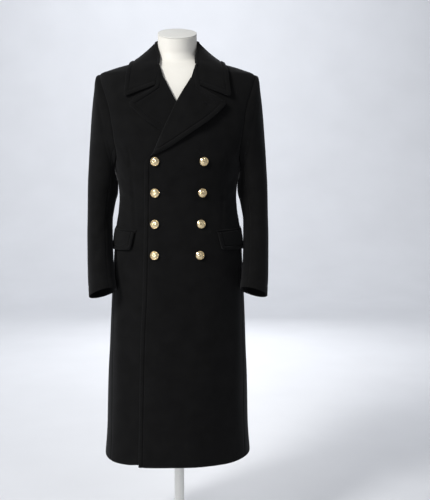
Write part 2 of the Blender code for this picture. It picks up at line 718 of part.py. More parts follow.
def adopt(name, material):
    """Name the primitive that was just added and move it to the object's collection."""
    item = bpy.context.object
    item.name = name
    item.data.name = name
    item.data.materials.append(bpy.data.materials[material])
    for group in list(item.users_collection):
        group.objects.unlink(item)
    bpy.data.collections[COLLECTION].objects.link(item)
    return item


def stand():
    """Pole from the base up to the form, and a flat round base with a boss."""
    foot = BOSS_HEIGHT + SEAM_GAP
    head = FORM_FOOT - SEAM_GAP
    bpy.ops.mesh.primitive_cylinder_add(vertices=24, radius=POLE_RADIUS, depth=head - foot,
                                        location=(0, 0, (head + foot) / 2))
    adopt("form_pole", "white_lacquer")
    boss = POLE_RADIUS + 0.008
    profile = ((0.0, BOSS_HEIGHT), (boss - 0.003, BOSS_HEIGHT), (boss, BOSS_HEIGHT - 0.003),
               (boss + 0.002, 0.014), (boss + 0.012, 0.010), (BASE_RADIUS - 0.006, 0.008),
               (BASE_RADIUS, 0.004), (BASE_RADIUS, 0.0), (0.0, 0.0))
    turned("form_base", turned_mesh("form_base", profile), BASE_STEPS, "white_lacquer")


def start():
    """Clear the scene and make the collection and the materials."""
    for item in list(bpy.data.objects):
        bpy.data.objects.remove(item, do_unlink=True)
    group = bpy.data.collections.new(COLLECTION)
    bpy.context.scene.collection.children.link(group)
    for name, (colour, roughness, metallic) in MATERIALS.items():
        material = bpy.data.materials.new(name)
        material.use_nodes = True
        shader = material.node_tree.nodes["Principled BSDF"]
        shader.inputs["Base Color"].default_value = (*colour, 1.0)
        shader.inputs["Roughness"].default_value = roughness
        shader.inputs["Metallic"].default_value = metallic


def main():
    start()
    for side_name, side in (("left", 1), ("right", -1)):
        front(f"front_{side_name}", side)
        back(f"back_{side_name}", side)
        sleeve(side_name, side)
        lapel(side_name, side)
        pocket_flap(side_name, side)
    collar()
    buttons()
    dress_form()
    neck_cap()
    stand()


if __name__ == "__main__":
    main()
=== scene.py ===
"""Looks of a long double-breasted military coat on a limbless dress form.

Every cloth piece is a thin shell over a grid of points, read from the same rings and sections as
its solid, with its creases, seams and sewing added in the coat's own sizes.
"""
from collections import namedtuple
from math import atan, cos, pi, radians, sin

import bmesh
import bpy
import numpy as np
from bpy.props import FloatProperty, FloatVectorProperty, IntProperty, PointerProperty
from mathutils import Matrix, Vector


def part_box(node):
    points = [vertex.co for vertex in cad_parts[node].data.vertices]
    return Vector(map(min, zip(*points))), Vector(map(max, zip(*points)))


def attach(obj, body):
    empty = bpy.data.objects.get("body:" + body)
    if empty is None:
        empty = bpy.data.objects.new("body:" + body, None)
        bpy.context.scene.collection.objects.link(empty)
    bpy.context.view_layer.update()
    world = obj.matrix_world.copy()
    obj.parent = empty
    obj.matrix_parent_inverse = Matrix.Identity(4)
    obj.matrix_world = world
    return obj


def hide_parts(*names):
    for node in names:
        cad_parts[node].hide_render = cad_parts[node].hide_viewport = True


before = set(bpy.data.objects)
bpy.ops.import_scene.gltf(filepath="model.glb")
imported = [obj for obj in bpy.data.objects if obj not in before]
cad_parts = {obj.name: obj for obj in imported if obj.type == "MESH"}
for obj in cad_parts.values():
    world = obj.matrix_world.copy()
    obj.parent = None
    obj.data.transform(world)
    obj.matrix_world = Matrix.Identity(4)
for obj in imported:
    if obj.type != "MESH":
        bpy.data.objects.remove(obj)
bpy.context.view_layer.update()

bl_info = {
    "name": "Military Coat on a Dress Form",
    "version": (1, 0, 0),
    "blender": (4, 5, 0),
    "location": "View3D > Sidebar > Coat",
    "description": "Makes the cloth, sewing, buttons and stand of a double-breasted coat",
    "category": "Object",
}

# The wearer's sides, and the way each lies along X
SIDES = (("left", 1), ("right", -1))

# Heights and places that the solids share
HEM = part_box("front_left")[0][2]
ARMHOLE_TOP = 1.431
ARMHOLE_FOOT = 1.160
BREAK = 1.185
OVERLAP_START = 0.018
OVERLAP_FADE = 0.070
LAPEL_STAND_OFF = 0.0085
COLLAR_STAND_OFF = 0.006
ROLL_RADIUS = 0.0042
COLLAR_SAG = 0.004
CREST_SHARE = 0.25
END_START = 0.55
EDGE_REACH = 0.07
EDGE_WEIGHTS = ((-1.0, 0.25), (0.0, 0.5), (1.0, 0.25))
FLAP_TOP = 0.976
FLAP_DEPTHS = (0.052, 0.061)
FLAP_FRONT_X = {"right": 0.1225, "left": 0.1105}
FLAP_SLANT = 0.011
FLAP_REAR_TURN = 97
FLAP_CORNER = 0.012
FRONT_SLEEVE_SEAM = 1.220
BACK_SLEEVE_SEAM = 1.260
BUTTON_HEIGHTS = (1.180, 1.090, 1.001, 0.913)
BUTTON_COLUMNS = {"right": (-0.0625, -0.0655), "left": (0.0708, 0.0597)}

BODY_COLUMNS = ("height", "half_width", "front_depth", "back_depth", "squareness")
BODY_ROWS = (
    (0.300, 0.2210, 0.206, 0.206, 2.05),
    (0.380, 0.2150, 0.198, 0.198, 2.05),
    (0.570, 0.2085, 0.186, 0.184, 2.10),
    (0.756, 0.2000, 0.173, 0.169, 2.10),
    (0.909, 0.1915, 0.162, 0.156, 2.15),
    (0.970, 0.1870, 0.157, 0.148, 2.20),
    (1.000, 0.1825, 0.153, 0.142, 2.20),
    (1.030, 0.1775, 0.150, 0.137, 2.20),
    (1.070, 0.1745, 0.147, 0.133, 2.20),
    (1.110, 0.1775, 0.146, 0.134, 2.20),
    (1.160, 0.1870, 0.147, 0.141, 2.25),
    (1.200, 0.1980, 0.147, 0.147, 2.30),
    (1.250, 0.2150, 0.146, 0.151, 2.30),
    (1.320, 0.2310, 0.136, 0.150, 2.30),
    (1.380, 0.2345, 0.118, 0.139, 2.25),
    (1.410, 0.2320, 0.104, 0.128, 2.20),
    (1.431, 0.2260, 0.092, 0.117, 2.15),
    (1.4435, 0.1960, 0.083, 0.106, 2.10),
    (1.4545, 0.1605, 0.074, 0.096, 2.05),
    (1.4665, 0.1100, 0.063, 0.086, 2.00),
    (1.4740, 0.0750, 0.055, 0.080, 2.00),
    (1.4900, 0.0200, 0.030, 0.040, 2.00),
)
# How far the hem is raised: by the distance of a point from the middle, on the coat's own sides
HEM_RISE_COLUMNS = ("x", "left", "right")
HEM_RISE_ROWS = (
    (-0.120, -0.0050, 0.0050),
    (0.000, 0.0030, 0.0050),
    (0.080, 0.0010, 0.0050),
    (0.115, -0.0010, 0.0015),
    (0.155, -0.0035, -0.0060),
    (0.190, -0.0030, -0.0085),
    (0.222, -0.0010, -0.0050),
)
FRONT_COLUMNS = ("height", "x")
FRONT_ROWS = (
    (0.300, -0.1170),
    (0.671, -0.1075),
    (0.787, -0.1015),
    (1.000, -0.0955),
    (1.170, -0.0905),
    (1.190, -0.0845),
    (1.2004, -0.0740),
    (1.342, -0.0060),
    (1.397, 0.0268),
    (1.4264, 0.0413),
    (1.4400, 0.0545),
    (1.4535, 0.0640),
    (1.4655, 0.0697),
    (1.4735, 0.0725),
)
FORM_COLUMNS = ("height", "half_width", "front_depth", "back_depth", "middle_y", "tilt")
FORM_ROWS = (
    (0.800, 0.146, 0.106, 0.112, 0.000, 0.0),
    (0.850, 0.154, 0.118, 0.122, 0.000, 0.0),
    (0.930, 0.155, 0.120, 0.123, 0.000, 0.0),
    (1.000, 0.146, 0.114, 0.112, 0.000, 0.0),
    (1.070, 0.138, 0.112, 0.104, 0.000, 0.0),
    (1.140, 0.145, 0.116, 0.107, 0.000, 0.0),
    (1.210, 0.160, 0.125, 0.119, 0.000, 0.0),
    (1.280, 0.176, 0.128, 0.133, 0.000, 0.0),
    (1.340, 0.190, 0.121, 0.137, 0.000, 0.0),
    (1.385, 0.199, 0.108, 0.130, 0.000, 0.0),
    (1.415, 0.199, 0.094, 0.119, 0.000, 0.0),
    (1.431, 0.190, 0.084, 0.109, 0.000, 0.0),
    (1.4410, 0.172, 0.078, 0.101, 0.000, 0.0),
    (1.4510, 0.1440, 0.0700, 0.0920, 0.000, 0.0),
    (1.4620, 0.1020, 0.0595, 0.0820, 0.000, 0.0),
    (1.4720, 0.0690, 0.0560, 0.0700, 0.002, 0.0),
    (1.4860, 0.0600, 0.0560, 0.0590, 0.003, 0.0),
    (1.5050, 0.0573, 0.0565, 0.0565, 0.000, 0.10),
    (1.5470, 0.0570, 0.0570, 0.0570, -0.008, 0.36),
)
SIDE_COLUMNS = ("height", "turn")
SIDE_ROWS = ((0.300, 61), (0.770, 70), (0.970, 73), (1.100, 82), (1.160, 90))
ARMHOLE_COLUMNS = ("height", "front_turn", "back_turn")
ARMHOLE_ROWS = (
    (1.160, 90.0, 90),
    (1.166, 78.0, 100),
    (1.178, 69.0, 110),
    (1.200, 62.5, 116),
    (1.250, 57.5, 120),
    (1.310, 55.5, 122),
    (1.340, 57.5, 121),
    (1.380, 64.0, 115),
    (1.410, 73.5, 105),
    (1.424, 82.0, 97),
    (1.431, 90.0, 90),
)
SLEEVE_COLUMNS = ("station", "outer_x", "outer_z", "inner_x", "inner_z", "middle_y", "half_depth",
                  "armhole", "rise")
SLEEVE_ROWS = (
    (0, 0.2265, 1.4310, 0.1875, 1.1604, 0.000, 0.078, 1.00, 0.00),
    (1, 0.2370, 1.4255, 0.1872, 1.1490, 0.002, 0.079, 0.72, 0.00),
    (2, 0.2412, 1.4130, 0.1848, 1.1370, 0.004, 0.080, 0.40, 0.00),
    (3, 0.2450, 1.3860, 0.1816, 1.1250, 0.005, 0.080, 0.15, 0.00),
    (4, 0.2500, 1.3500, 0.1792, 1.1130, 0.005, 0.078, 0.00, 0.00),
    (5, 0.2550, 1.3000, 0.1784, 1.0980, 0.004, 0.074, 0.00, 0.00),
    (6, 0.2595, 1.2400, 0.1796, 1.0800, 0.003, 0.071, 0.00, 0.00),
    (7, 0.2635, 1.1750, 0.1850, 1.0600, 0.000, 0.069, 0.00, 0.00),
    (8, 0.2675, 1.1050, 0.1905, 1.0330, -0.005, 0.067, 0.00, 0.00),
    (9, 0.2685, 1.0350, 0.1950, 0.9980, -0.014, 0.065, 0.00, 0.00),
    (10, 0.2690, 0.9700, 0.1940, 0.9550, -0.031, 0.063, 0.00, 0.05),
    (11, 0.2675, 0.9000, 0.1918, 0.9000, -0.054, 0.060, 0.00, 0.13),
    (12, 0.2650, 0.8380, 0.1868, 0.8500, -0.079, 0.057, 0.00, 0.25),
    (13, 0.2610, 0.7840, 0.1800, 0.8080, -0.100, 0.055, 0.00, 0.35),
)
COLLAR_COLUMNS = ("station", "crest_x", "crest_y", "crest_z", "foot_turn", "foot_z", "edge_turn",
                  "edge_z")
COLLAR_ROWS = (
    (-0.14, -0.0340, 0.0570, 1.5360, 208.0, 1.4742, 208.0, 1.4520),
    (0.00, 0.0000, 0.0660, 1.5370, 180.0, 1.4742, 180.0, 1.4530),
    (0.14, 0.0340, 0.0570, 1.5360, 152.0, 1.4742, 152.0, 1.4520),
    (0.28, 0.0565, 0.0320, 1.5320, 122.0, 1.4742, 123.0, 1.4545),
    (0.40, 0.0625, 0.0000, 1.5250, 93.0, 1.4742, 94.0, 1.4606),
    (0.52, 0.0605, -0.0210, 1.5100, 66.0, 1.4742, 63.5, 1.4562),
    (0.64, 0.0565, -0.0370, 1.4940, 45.0, 1.4710, 45.6, 1.4440),
    (0.76, 0.0540, -0.0490, 1.4810, 33.0, 1.4665, 37.0, 1.4240),
    (0.88, 0.0535, -0.0600, 1.4715, 27.0, 1.4625, 36.4, 1.3930),
    (1.00, 0.0548, -0.0740, 1.4620, 25.0, 1.4580, 37.0, 1.3585),
)
COLLAR_END_COLUMNS = ("share", "x", "z")
COLLAR_END_ROWS = ((0.00, 0.0580, 1.4580), (0.18, 0.0570, 1.4330), (0.43, 0.0640, 1.3930),
                   (1.00, 0.1500, 1.3585))
LAPEL_COLUMNS = ("along", "roll_x", "roll_z", "edge_x", "edge_z")
LAPEL_ROWS = (
    (0.00, -0.0800, 1.1945, -0.0720, 1.1970),
    (0.10, -0.0718, 1.2050, -0.0430, 1.2080),
    (0.25, -0.0600, 1.2296, -0.0060, 1.2305),
    (0.40, -0.0461, 1.2585, 0.0350, 1.2580),
    (0.60, -0.0270, 1.2983, 0.0830, 1.2905),
    (0.69, -0.0165, 1.3202, 0.1065, 1.3100),
    (0.78, -0.0060, 1.3420, 0.1370, 1.3410),
    (0.86, 0.0135, 1.3750, 0.1000, 1.3650),
    (0.93, 0.0268, 1.3970, 0.0634, 1.3908),
    (0.96, 0.0385, 1.4200, 0.0567, 1.4310),
    (1.00, 0.0490, 1.4560, 0.0574, 1.4595),
)

# Creases of the body as soft troughs (depth below 0) and ridges: turn in degrees and height of
# both ends, half width and depth in metres
Crease = namedtuple("Crease", ("turn_a", "height_a", "turn_b", "height_b", "width", "depth"))
FRONT_CREASES = (
    (66, 1.135, 40, 1.090, 0.012, -0.0016),
    (70, 1.105, 46, 1.070, 0.010, 0.0012),
    (74, 1.080, 34, 1.058, 0.013, -0.0018),
    (76, 1.050, 52, 1.020, 0.011, -0.0012),
    (52, 1.230, 44, 1.150, 0.014, -0.0014),
    (58, 1.250, 52, 1.180, 0.010, 0.0012),
    (20, 0.860, 24, 0.420, 0.034, 0.0022),
    (42, 0.880, 44, 0.330, 0.030, -0.0026),
    (56, 0.820, 56, 0.310, 0.028, 0.0024),
    (4, 0.700, 2, 0.330, 0.030, -0.0014),
    (12, 1.060, 30, 1.020, 0.016, -0.0008),
)
BACK_CREASES = (
    (112, 1.130, 138, 1.090, 0.013, -0.0018),
    (106, 1.095, 146, 1.062, 0.014, -0.0022),
    (110, 1.060, 140, 1.030, 0.012, -0.0014),
    (124, 1.250, 128, 1.140, 0.016, -0.0020),
    (132, 1.300, 136, 1.180, 0.018, 0.0014),
    (150, 1.400, 160, 1.330, 0.022, -0.0010),
    (148, 0.900, 150, 0.330, 0.036, 0.0028),
    (128, 0.860, 124, 0.320, 0.032, -0.0030),
    (166, 0.860, 168, 0.360, 0.028, -0.0020),
    (106, 0.800, 102, 0.310, 0.030, 0.0026),
    (88, 0.760, 84, 0.310, 0.028, -0.0022),
)
# Creases of a sleeve: angle round it in degrees, 0 outside and 90 in front, and station
SLEEVE_CREASES = (
    (66, 2.2, 100, 4.4, 0.018, -0.0010),
    (24, 1.4, 48, 4.6, 0.024, 0.0008),
    (-40, 1.6, -70, 5.2, 0.016, -0.0016),
    (120, 8.2, 62, 9.1, 0.013, -0.0018),
    (128, 8.9, 76, 9.6, 0.011, 0.0013),
    (130, 9.7, 68, 10.2, 0.012, -0.0016),
    (-128, 8.6, -80, 9.4, 0.012, -0.0018),
    (105, 10.4, 60, 11.2, 0.012, -0.0016),
    (40, 6.0, 30, 9.0, 0.022, 0.0012),
    (-60, 10.4, -30, 12.0, 0.018, -0.0014),
    (140, 6.4, 100, 7.6, 0.012, -0.0022),
    (-140, 6.2, -104, 7.5, 0.012, -0.0020),
)

# Relief of the cloth
BODY_RADIUS = 0.18
SEAM_RADIUS = 0.2
SLEEVE_RADIUS = 0.055
STATION_LENGTH = 0.05
SEAM_DEPTH = 0.0011
SEAM_WIDTH = 0.0022
BORDER_RISE = 0.0015
TROUGH_DEPTH = 0.0017
TROUGH_WIDTH = 0.0016
HEM_REACH = 0.30
SKIRT_SWING = 0.008
SWING_HEIGHTS = (0.30, 1.00)
FRONT_SWAY = 0.0022
BACK_SWAY = 0.0026
SWAY_WAVES = 6.5
SWAY_START = 0.8
# Only the lapped edge, on the left, curls, and only the right front rolls more steeply
EDGE_CURL = {1: 0.0035, -1: 0.0}
EDGE_CURL_WIDTH = 0.016
STEEPER_ROLL = {1: 0.0, -1: 0.0062}
UNDER_LAPEL = 0.0046
LAYERS_FADE = 0.07

# Lapels and collar: the tip and the gorge seam as shares of the lapel's length
TIP_SHARE = 0.78
GORGE_SHARE = 0.93
LAPEL_TIP = (0.1370, 1.3410)
LAPEL_TIP_INWARD = (-0.99, -0.12)
COLLAR_CORNER_INWARD = (-0.59, 0.81)
ROLL_WIDTH = 0.0042
ROLL_HEIGHT = 0.0046

# Sewing
STITCH_SINK = 0.0008
STITCH_SHARE = 0.72
THREAD_FLATNESS = 0.7
FLAP_MARGIN_SHARE = 0.8
HOLE_LIFT_SHARE = 0.45
CAP_THICKNESS = 0.003

# Stage: each lamp has its name, place, target, size, power and colour
LAMPS = (
    ("key", (-2.3, -2.5, 3.4), (0, 0, 1.0), 1.0, 155, (1.0, 0.985, 0.955)),
    ("fill", (-1.0, -3.4, 1.3), (0, 0, 0.8), 1.8, 11, (0.98, 0.98, 1.0)),
    ("left", (-3.2, -1.7, 1.1), (0, 0, 0.9), 1.0, 16, (1.0, 0.99, 0.98)),
    ("backdrop", (0, 4.2, 5.0), (0, 6.8, 1.2), 3.0, 150, (0.97, 0.98, 1.0)),
    ("back", (0.3, 3.4, 1.6), (0, 0, 1.1), 0.7, 40, (1.0, 1.0, 1.0)),
    ("rim_left", (-2.0, 1.8, 1.8), (0, 0, 0.9), 1.2, 4, (1.0, 1.0, 1.0)),
    ("rim_right", (2.0, 1.8, 1.8), (0, 0, 0.9), 1.2, 2, (1.0, 1.0, 1.0)),
)
FLOOR_SIZE = (22, 15)
FLOOR_MIDDLE_Y = -0.5
FLOOR_REAR_Y = 6.9
BACKDROP_HEIGHT = 9
BACKDROP_SWEEP = 3.0
SENSOR = 36
LENS = 67.2
CAMERA_PLACE = (0, -2.8, 1.248)
CAMERA_DIP = 6.9
CAMERA_TURN = -2.27


class CoatSizes(bpy.types.PropertyGroup):
    """Sizes of the cloth, the sewing and the hard pieces."""

    cloth: FloatProperty(name="Cloth", description="Wall of one layer of wool",
                         default=0.0026, unit="LENGTH")
    double: FloatProperty(name="Doubled cloth", description="Wall of two layers pressed flat",
                          default=0.0036, unit="LENGTH")
    layer_gap: FloatProperty(name="Layer gap", description="Air between two layers that lie loose",
                             default=0.0016, unit="LENGTH")
    edge_gap: FloatProperty(name="Edge gap", description="Air where an upper layer is sewn down",
                            default=0.0004, unit="LENGTH")
    seam_gap: FloatProperty(name="Seam gap", description="Room between two pieces at a seam",
                            default=0.00004, unit="LENGTH")
    stitch_margin: FloatProperty(name="Stitch margin", description="From an edge to its stitching",
                                 default=0.0136, unit="LENGTH")
    stitch_length: FloatProperty(name="Stitch length", description="One stitch and its gap",
                                 default=0.0042, unit="LENGTH")
    thread: FloatProperty(name="Thread", description="Thickness of the sewing thread",
                          default=0.0007, unit="LENGTH")
    button_radius: FloatProperty(name="Button radius", description="Radius of a coat button",
                                 default=0.0125, unit="LENGTH")
    petals: IntProperty(name="Petals", description="Petals of the rosette on a button", default=8)
    pole_radius: FloatProperty(name="Pole radius", description="Radius of the stand's pole",
                               default=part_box("form_pole")[1][0], unit="LENGTH")


class CoatColours(bpy.types.PropertyGroup):
    """Colours of the finishes."""

    wool: FloatVectorProperty(name="Wool", description="Black melton", subtype="COLOR",
                              default=(0.0027, 0.0027, 0.0028))
    thread: FloatVectorProperty(name="Thread", description="Sewing thread", subtype="COLOR",
                                default=(0.006, 0.006, 0.0065))
    brass: FloatVectorProperty(name="Brass", description="Gilt buttons", subtype="COLOR",
                               default=(0.88, 0.73, 0.46))
    tarnish: FloatVectorProperty(name="Tarnish", description="Hollows of the buttons",
                                 subtype="COLOR", default=(0.26, 0.16, 0.07))
    form: FloatVectorProperty(name="Form", description="Cover of the dress form",
                              subtype="COLOR", default=(0.70, 0.685, 0.64))
    lacquer: FloatVectorProperty(name="Lacquer", description="Pole, base and neck cap",
                                 subtype="COLOR", default=(0.84, 0.84, 0.82))
    # The neck cap's own copy of the lacquer, made darker: painted shade that holds down the light
    # falling on its top
    cap: FloatVectorProperty(name="Cap", description="Neck cap", subtype="COLOR",
                             default=(0.60, 0.60, 0.575))
    floor: FloatVectorProperty(name="Floor", description="Studio floor", subtype="COLOR",
                               default=(0.63, 0.645, 0.68))


class Table:
    """Rows of a short table, read at any value of the first column.

    A smooth table never swings past its own values, and a plain one runs straight between rows.
    """

    def __init__(self, columns, rows, smooth=True):
        table = np.array(rows, dtype=float)
        self.keys = table[:, 0]
        self.values = table[:, 1:]
        self.row_type = namedtuple("Row", columns[1:])
        self.smooth = smooth
        steps = np.diff(self.values, axis=0) / np.diff(self.keys)[:, None]
        before, after = steps[:-1], steps[1:]
        agree = before * after > 0
        total = np.where(agree, before + after, 1.0)
        inner = np.where(agree, 2 * before * after / total, 0.0)
        self.slopes = np.vstack((steps[:1], inner, steps[-1:]))

    def at(self, key):
        """Named arrays of the values that belong at the keys."""
        key = np.asarray(key, dtype=float)
        index = np.clip(np.searchsorted(self.keys, key, side="right") - 1, 0, len(self.keys) - 2)
        width = (self.keys[index + 1] - self.keys[index])[..., None]
        share = (key[..., None] - self.keys[index][..., None]) / width
        a = self.values[index]
        b = self.values[index + 1]
        straight = a + (b - a) * share
        if not self.smooth:
            return self.row_type(*np.moveaxis(straight, -1, 0))
        bend = (2 * share - 3) * share * share
        curved = (a + (a - b) * bend
                  + self.slopes[index] * width * share * (1 - share) ** 2
                  - self.slopes[index + 1] * width * share * share * (1 - share))
        inside = (share >= 0) & (share <= 1)
        return self.row_type(*np.moveaxis(np.where(inside, curved, straight), -1, 0))


BODY = Table(BODY_COLUMNS, BODY_ROWS)
FRONT = Table(FRONT_COLUMNS, FRONT_ROWS)
SIDE = Table(SIDE_COLUMNS, SIDE_ROWS)
FORM = Table(FORM_COLUMNS, FORM_ROWS)
ARMHOLE = Table(ARMHOLE_COLUMNS, ARMHOLE_ROWS)
SLEEVE = Table(SLEEVE_COLUMNS, SLEEVE_ROWS)
HEM_RISE = Table(HEM_RISE_COLUMNS, HEM_RISE_ROWS)
COLLAR = Table(COLLAR_COLUMNS, COLLAR_ROWS)
COLLAR_END = Table(COLLAR_END_COLUMNS, COLLAR_END_ROWS, smooth=False)
LAPEL = Table(LAPEL_COLUMNS, LAPEL_ROWS, smooth=False)
LAPEL_EDGE = Table(("along", "x", "z"), [(row[0], row[3], row[4]) for row in LAPEL_ROWS[:7]])


def sizes():
    return bpy.context.scene.coat_sizes


def colours():
    return bpy.context.scene.coat_colours


def fade(value, start, end):
    """0 before start, 1 after end, and a soft step between."""
    share = np.clip((value - start) / (end - start), 0.0, 1.0)
    return share * share * (3 - 2 * share)


def bell(value, width):
    """1 at 0, and almost 0 beyond twice the width."""
    return np.exp(-(value / width) ** 2)


def mix(a, b, share):
    return a + (b - a) * share


def unit(vectors):
    return vectors / np.maximum(np.linalg.norm(vectors, axis=-1, keepdims=True), 1e-12)


def mirrored(points, side):
    return points * np.array((side, 1.0, 1.0))


def normals_of(surface, u, v, step_u, step_v):
    """Normals of a surface of two values, found from points a small step to each side."""
    across = surface(u + step_u, v) - surface(u - step_u, v)
    along = surface(u, v + step_v) - surface(u, v - step_v)
    return unit(np.cross(across, along))


def body_points(turn, height):
    """Points of the body's outside. turn is in radians from the front, towards +X."""
    turn, height = np.broadcast_arrays(turn, height)
    ring = BODY.at(height)
    power = 2 / ring.squareness
    depth = np.where(np.cos(turn) > 0, ring.front_depth, ring.back_depth)
    x = ring.half_width * np.sign(np.sin(turn)) * np.abs(np.sin(turn)) ** power
    y = -depth * np.sign(np.cos(turn)) * np.abs(np.cos(turn)) ** power
    return np.stack((x, y, height), axis=-1)


def body_normals(turn, height):
    return normals_of(body_points, turn, height, 0.01, 0.001)


def turn_at(x, height):
    """Turn of the point of the body's front at a distance from the centre."""
    ring = BODY.at(height)
    share = np.clip(np.abs(x) / ring.half_width, 0, 1)
    return np.sign(x) * np.arcsin(share ** (ring.squareness / 2))


def button_x(column, height):
    """Place of a button across the front. The columns slant a little."""
    share = (BUTTON_HEIGHTS[0] - height) / (BUTTON_HEIGHTS[0] - BUTTON_HEIGHTS[-1])
    return mix(*BUTTON_COLUMNS[column], share)


def front_cover(side, x, height):
    """How far a front lies off the body: the wearer's left front laps over the right one."""
    if side < 0:
        return np.zeros(np.broadcast(x, height).shape)
    s = sizes()
    under_edge = -FRONT.at(height).x
    above_break = fade(height, BREAK - LAYERS_FADE, BREAK)
    layers = s.cloth + s.layer_gap + (s.double + s.layer_gap) * above_break
    start = under_edge + OVERLAP_START
    return layers * (1 - fade(x, start, start + OVERLAP_FADE))


def front_points(side, turn, height, lift):
    """Points of a front, moved out by lift."""
    on_body = body_points(turn, height)
    out = front_cover(side, on_body[..., 0], height) + lift
    return mirrored(on_body + body_normals(turn, height) * out[..., None], side)


def crease_relief(creases, turn, height, radius):
    """Sum of soft troughs and ridges over a surface that is measured by turn and height."""
    relief = np.zeros(np.broadcast(turn, height).shape)
    for crease in map(Crease._make, creases):
        width = crease.width
        a = np.array((radians(crease.turn_a) * radius, crease.height_a))
        b = np.array((radians(crease.turn_b) * radius, crease.height_b))
        run = b - a
        length = np.hypot(*run)
        across = turn * radius - a[0]
        up = height - a[1]
        along = (across * run[0] + up * run[1]) / length ** 2
        wander = 0.35 * width * np.sin(5.3 * along + 40 * width)
        off = (across * run[1] - up * run[0]) / length + wander
        ends = fade(along, -0.15, 0.3) * (1 - fade(along, 0.65, 1.2))
        relief += crease.depth * bell(off, width) * ends
    return relief


def distance_to_line(points, line):
    """Distance of each point of a grid from a close row of points."""
    flat = points.reshape(-1, 3)
    nearest = np.full(len(flat), 10.0)
    for start in range(0, len(line), 64):
        gap = flat[:, None, :] - line[None, start:start + 64, :]
        nearest = np.minimum(nearest, np.sqrt((gap * gap).sum(-1)).min(1))
    return nearest.reshape(points.shape[:-1])


def dense(line, step=0.0012):
    """A row of points along a line, a short step apart."""
    line = np.asarray(line, dtype=float)
    run = np.concatenate(([0], np.cumsum(np.linalg.norm(np.diff(line, axis=0), axis=1))))
    at = np.linspace(0, run[-1], max(int(run[-1] / step), 2))
    return np.stack([np.interp(at, run, line[:, k]) for k in range(3)], axis=-1)


def border_relief(distance, margin):
    """A sewn border: a full edge, and a narrow trough under the stitches."""
    full = BORDER_RISE * np.sin(pi * np.clip(distance / margin, 0, 1)) ** 0.7
    return full - TROUGH_DEPTH * bell(distance - margin, TROUGH_WIDTH)


def shares_with_margins(lengths, margins_a, margins_b, count):
    """Shares along rows of given lengths, with fixed distances at both ends and even between."""
    lengths = np.maximum(np.atleast_1d(lengths), 0.0002)[:, None]
    first = np.array(margins_a)[None, :]
    last = np.array(margins_b)[::-1][None, :]
    room = np.minimum(1.0, 0.45 * lengths / max(margins_a[-1], margins_b[-1], 1e-6))
    start = first * room
    end = lengths - last * room
    inner = np.linspace(0, 1, count + 2)[1:-1][None, :]
    middle = start[:, -1:] + (end[:, :1] - start[:, -1:]) * inner
    return np.hstack((start, middle, end)) / lengths


def edge_round(distance, wall):
    """How far a face sinks towards the middle of the wall near a cut edge."""
    half = wall / 2
    near = np.clip(1 - distance / half, 0, 1)
    return half * (1 - np.sqrt(np.maximum(1 - near * near, 0)))


def turn_outward(form):
    """Turn a closed shell's faces outward."""
    if form.calc_volume(signed=True) < 0:
        bmesh.ops.reverse_faces(form, faces=form.faces)


def recalculate(form):
    """Turn the faces of each of many small pieces outward."""
    bmesh.ops.recalc_face_normals(form, faces=form.faces)


def smooth_mesh(name, verts, faces, material, face_outward):
    """A smooth object with one material from its points and faces."""
    mesh = bpy.data.meshes.new(name)
    mesh.from_pydata(verts, [], faces)
    form = bmesh.new()
    form.from_mesh(mesh)
    face_outward(form)
    form.to_mesh(mesh)
    form.free()
    mesh.shade_smooth()
    item = bpy.data.objects.new(name, mesh)
    item.data.materials.append(bpy.data.materials[material])
    bpy.context.scene.collection.objects.link(item)
    return item


def cloth_object(name, face, normals, wall, material, rounded=None):
    """A closed shell from a grid of face points, its normals and its wall.

    rounded is the distance of each point from the nearest edge, where the shell rounds off.
    """
    sink = np.zeros(face.shape[:2]) if rounded is None else edge_round(rounded, wall)
    outer = face - normals * sink[..., None]
    inner = face - normals * (wall - sink)[..., None]
    rows, columns = face.shape[:2]
    count = rows * columns
    verts = np.concatenate((outer.reshape(-1, 3), inner.reshape(-1, 3)))
    index = np.arange(count).reshape(rows, columns)
    a, b = index[:-1, :-1], index[:-1, 1:]
    c, d = index[1:, 1:], index[1:, :-1]
    quads = np.stack((a, b, c, d), -1).reshape(-1, 4)
    backs = np.stack((a, d, c, b), -1).reshape(-1, 4) + count
    rim = np.concatenate((index[0, :-1], index[:-1, -1], index[-1, :0:-1], index[:0:-1, 0]))
    after = np.roll(rim, -1)
    walls = np.stack((after, rim, rim + count, after + count), -1)
    faces = np.concatenate((quads, backs, walls)).tolist()
    return smooth_mesh(name, verts.tolist(), faces, material, turn_outward)


def declare_cloth(item, nodes):
    """Attach a cloth piece to the root and hide the solids that it replaces."""
    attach(item, "root")
    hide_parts(*nodes)


HEM_MARGINS = (0.0, 0.0003, 0.0009, 0.0016, 0.003, 0.006)
SEAM_MARGINS = (0.0, 0.0004, 0.0010, 0.0020, 0.0035, 0.006)
STITCHED_MARGINS = (0.0, 0.0003, 0.0009, 0.0018, 0.0032, 0.0050, 0.0070, 0.0088, 0.0100, 0.0109,
                    0.0118, 0.0127, 0.0136, 0.0145, 0.0155, 0.0170, 0.0195)


def body_heights():
    """Heights of the body's rows, close together at the hem and at the armhole's two ends."""
    rows = [HEM + margin for margin in HEM_MARGINS]
    rows += list(np.arange(HEM + 0.011, ARMHOLE_FOOT - 0.004, 0.0052))
    rows += list(ARMHOLE_FOOT + np.array((0, 0.001, 0.0025, 0.0045, 0.007, 0.010, 0.014)))
    rows += list(np.arange(ARMHOLE_FOOT + 0.0185, ARMHOLE_TOP - 0.013, 0.0046))
    rows += list(ARMHOLE_TOP - np.array((0.010, 0.0065, 0.0035, 0.0015, 0)))
    rows += list(np.arange(ARMHOLE_TOP + 0.0018, 1.4728, 0.0018)) + [1.4735]
    return np.array(rows)


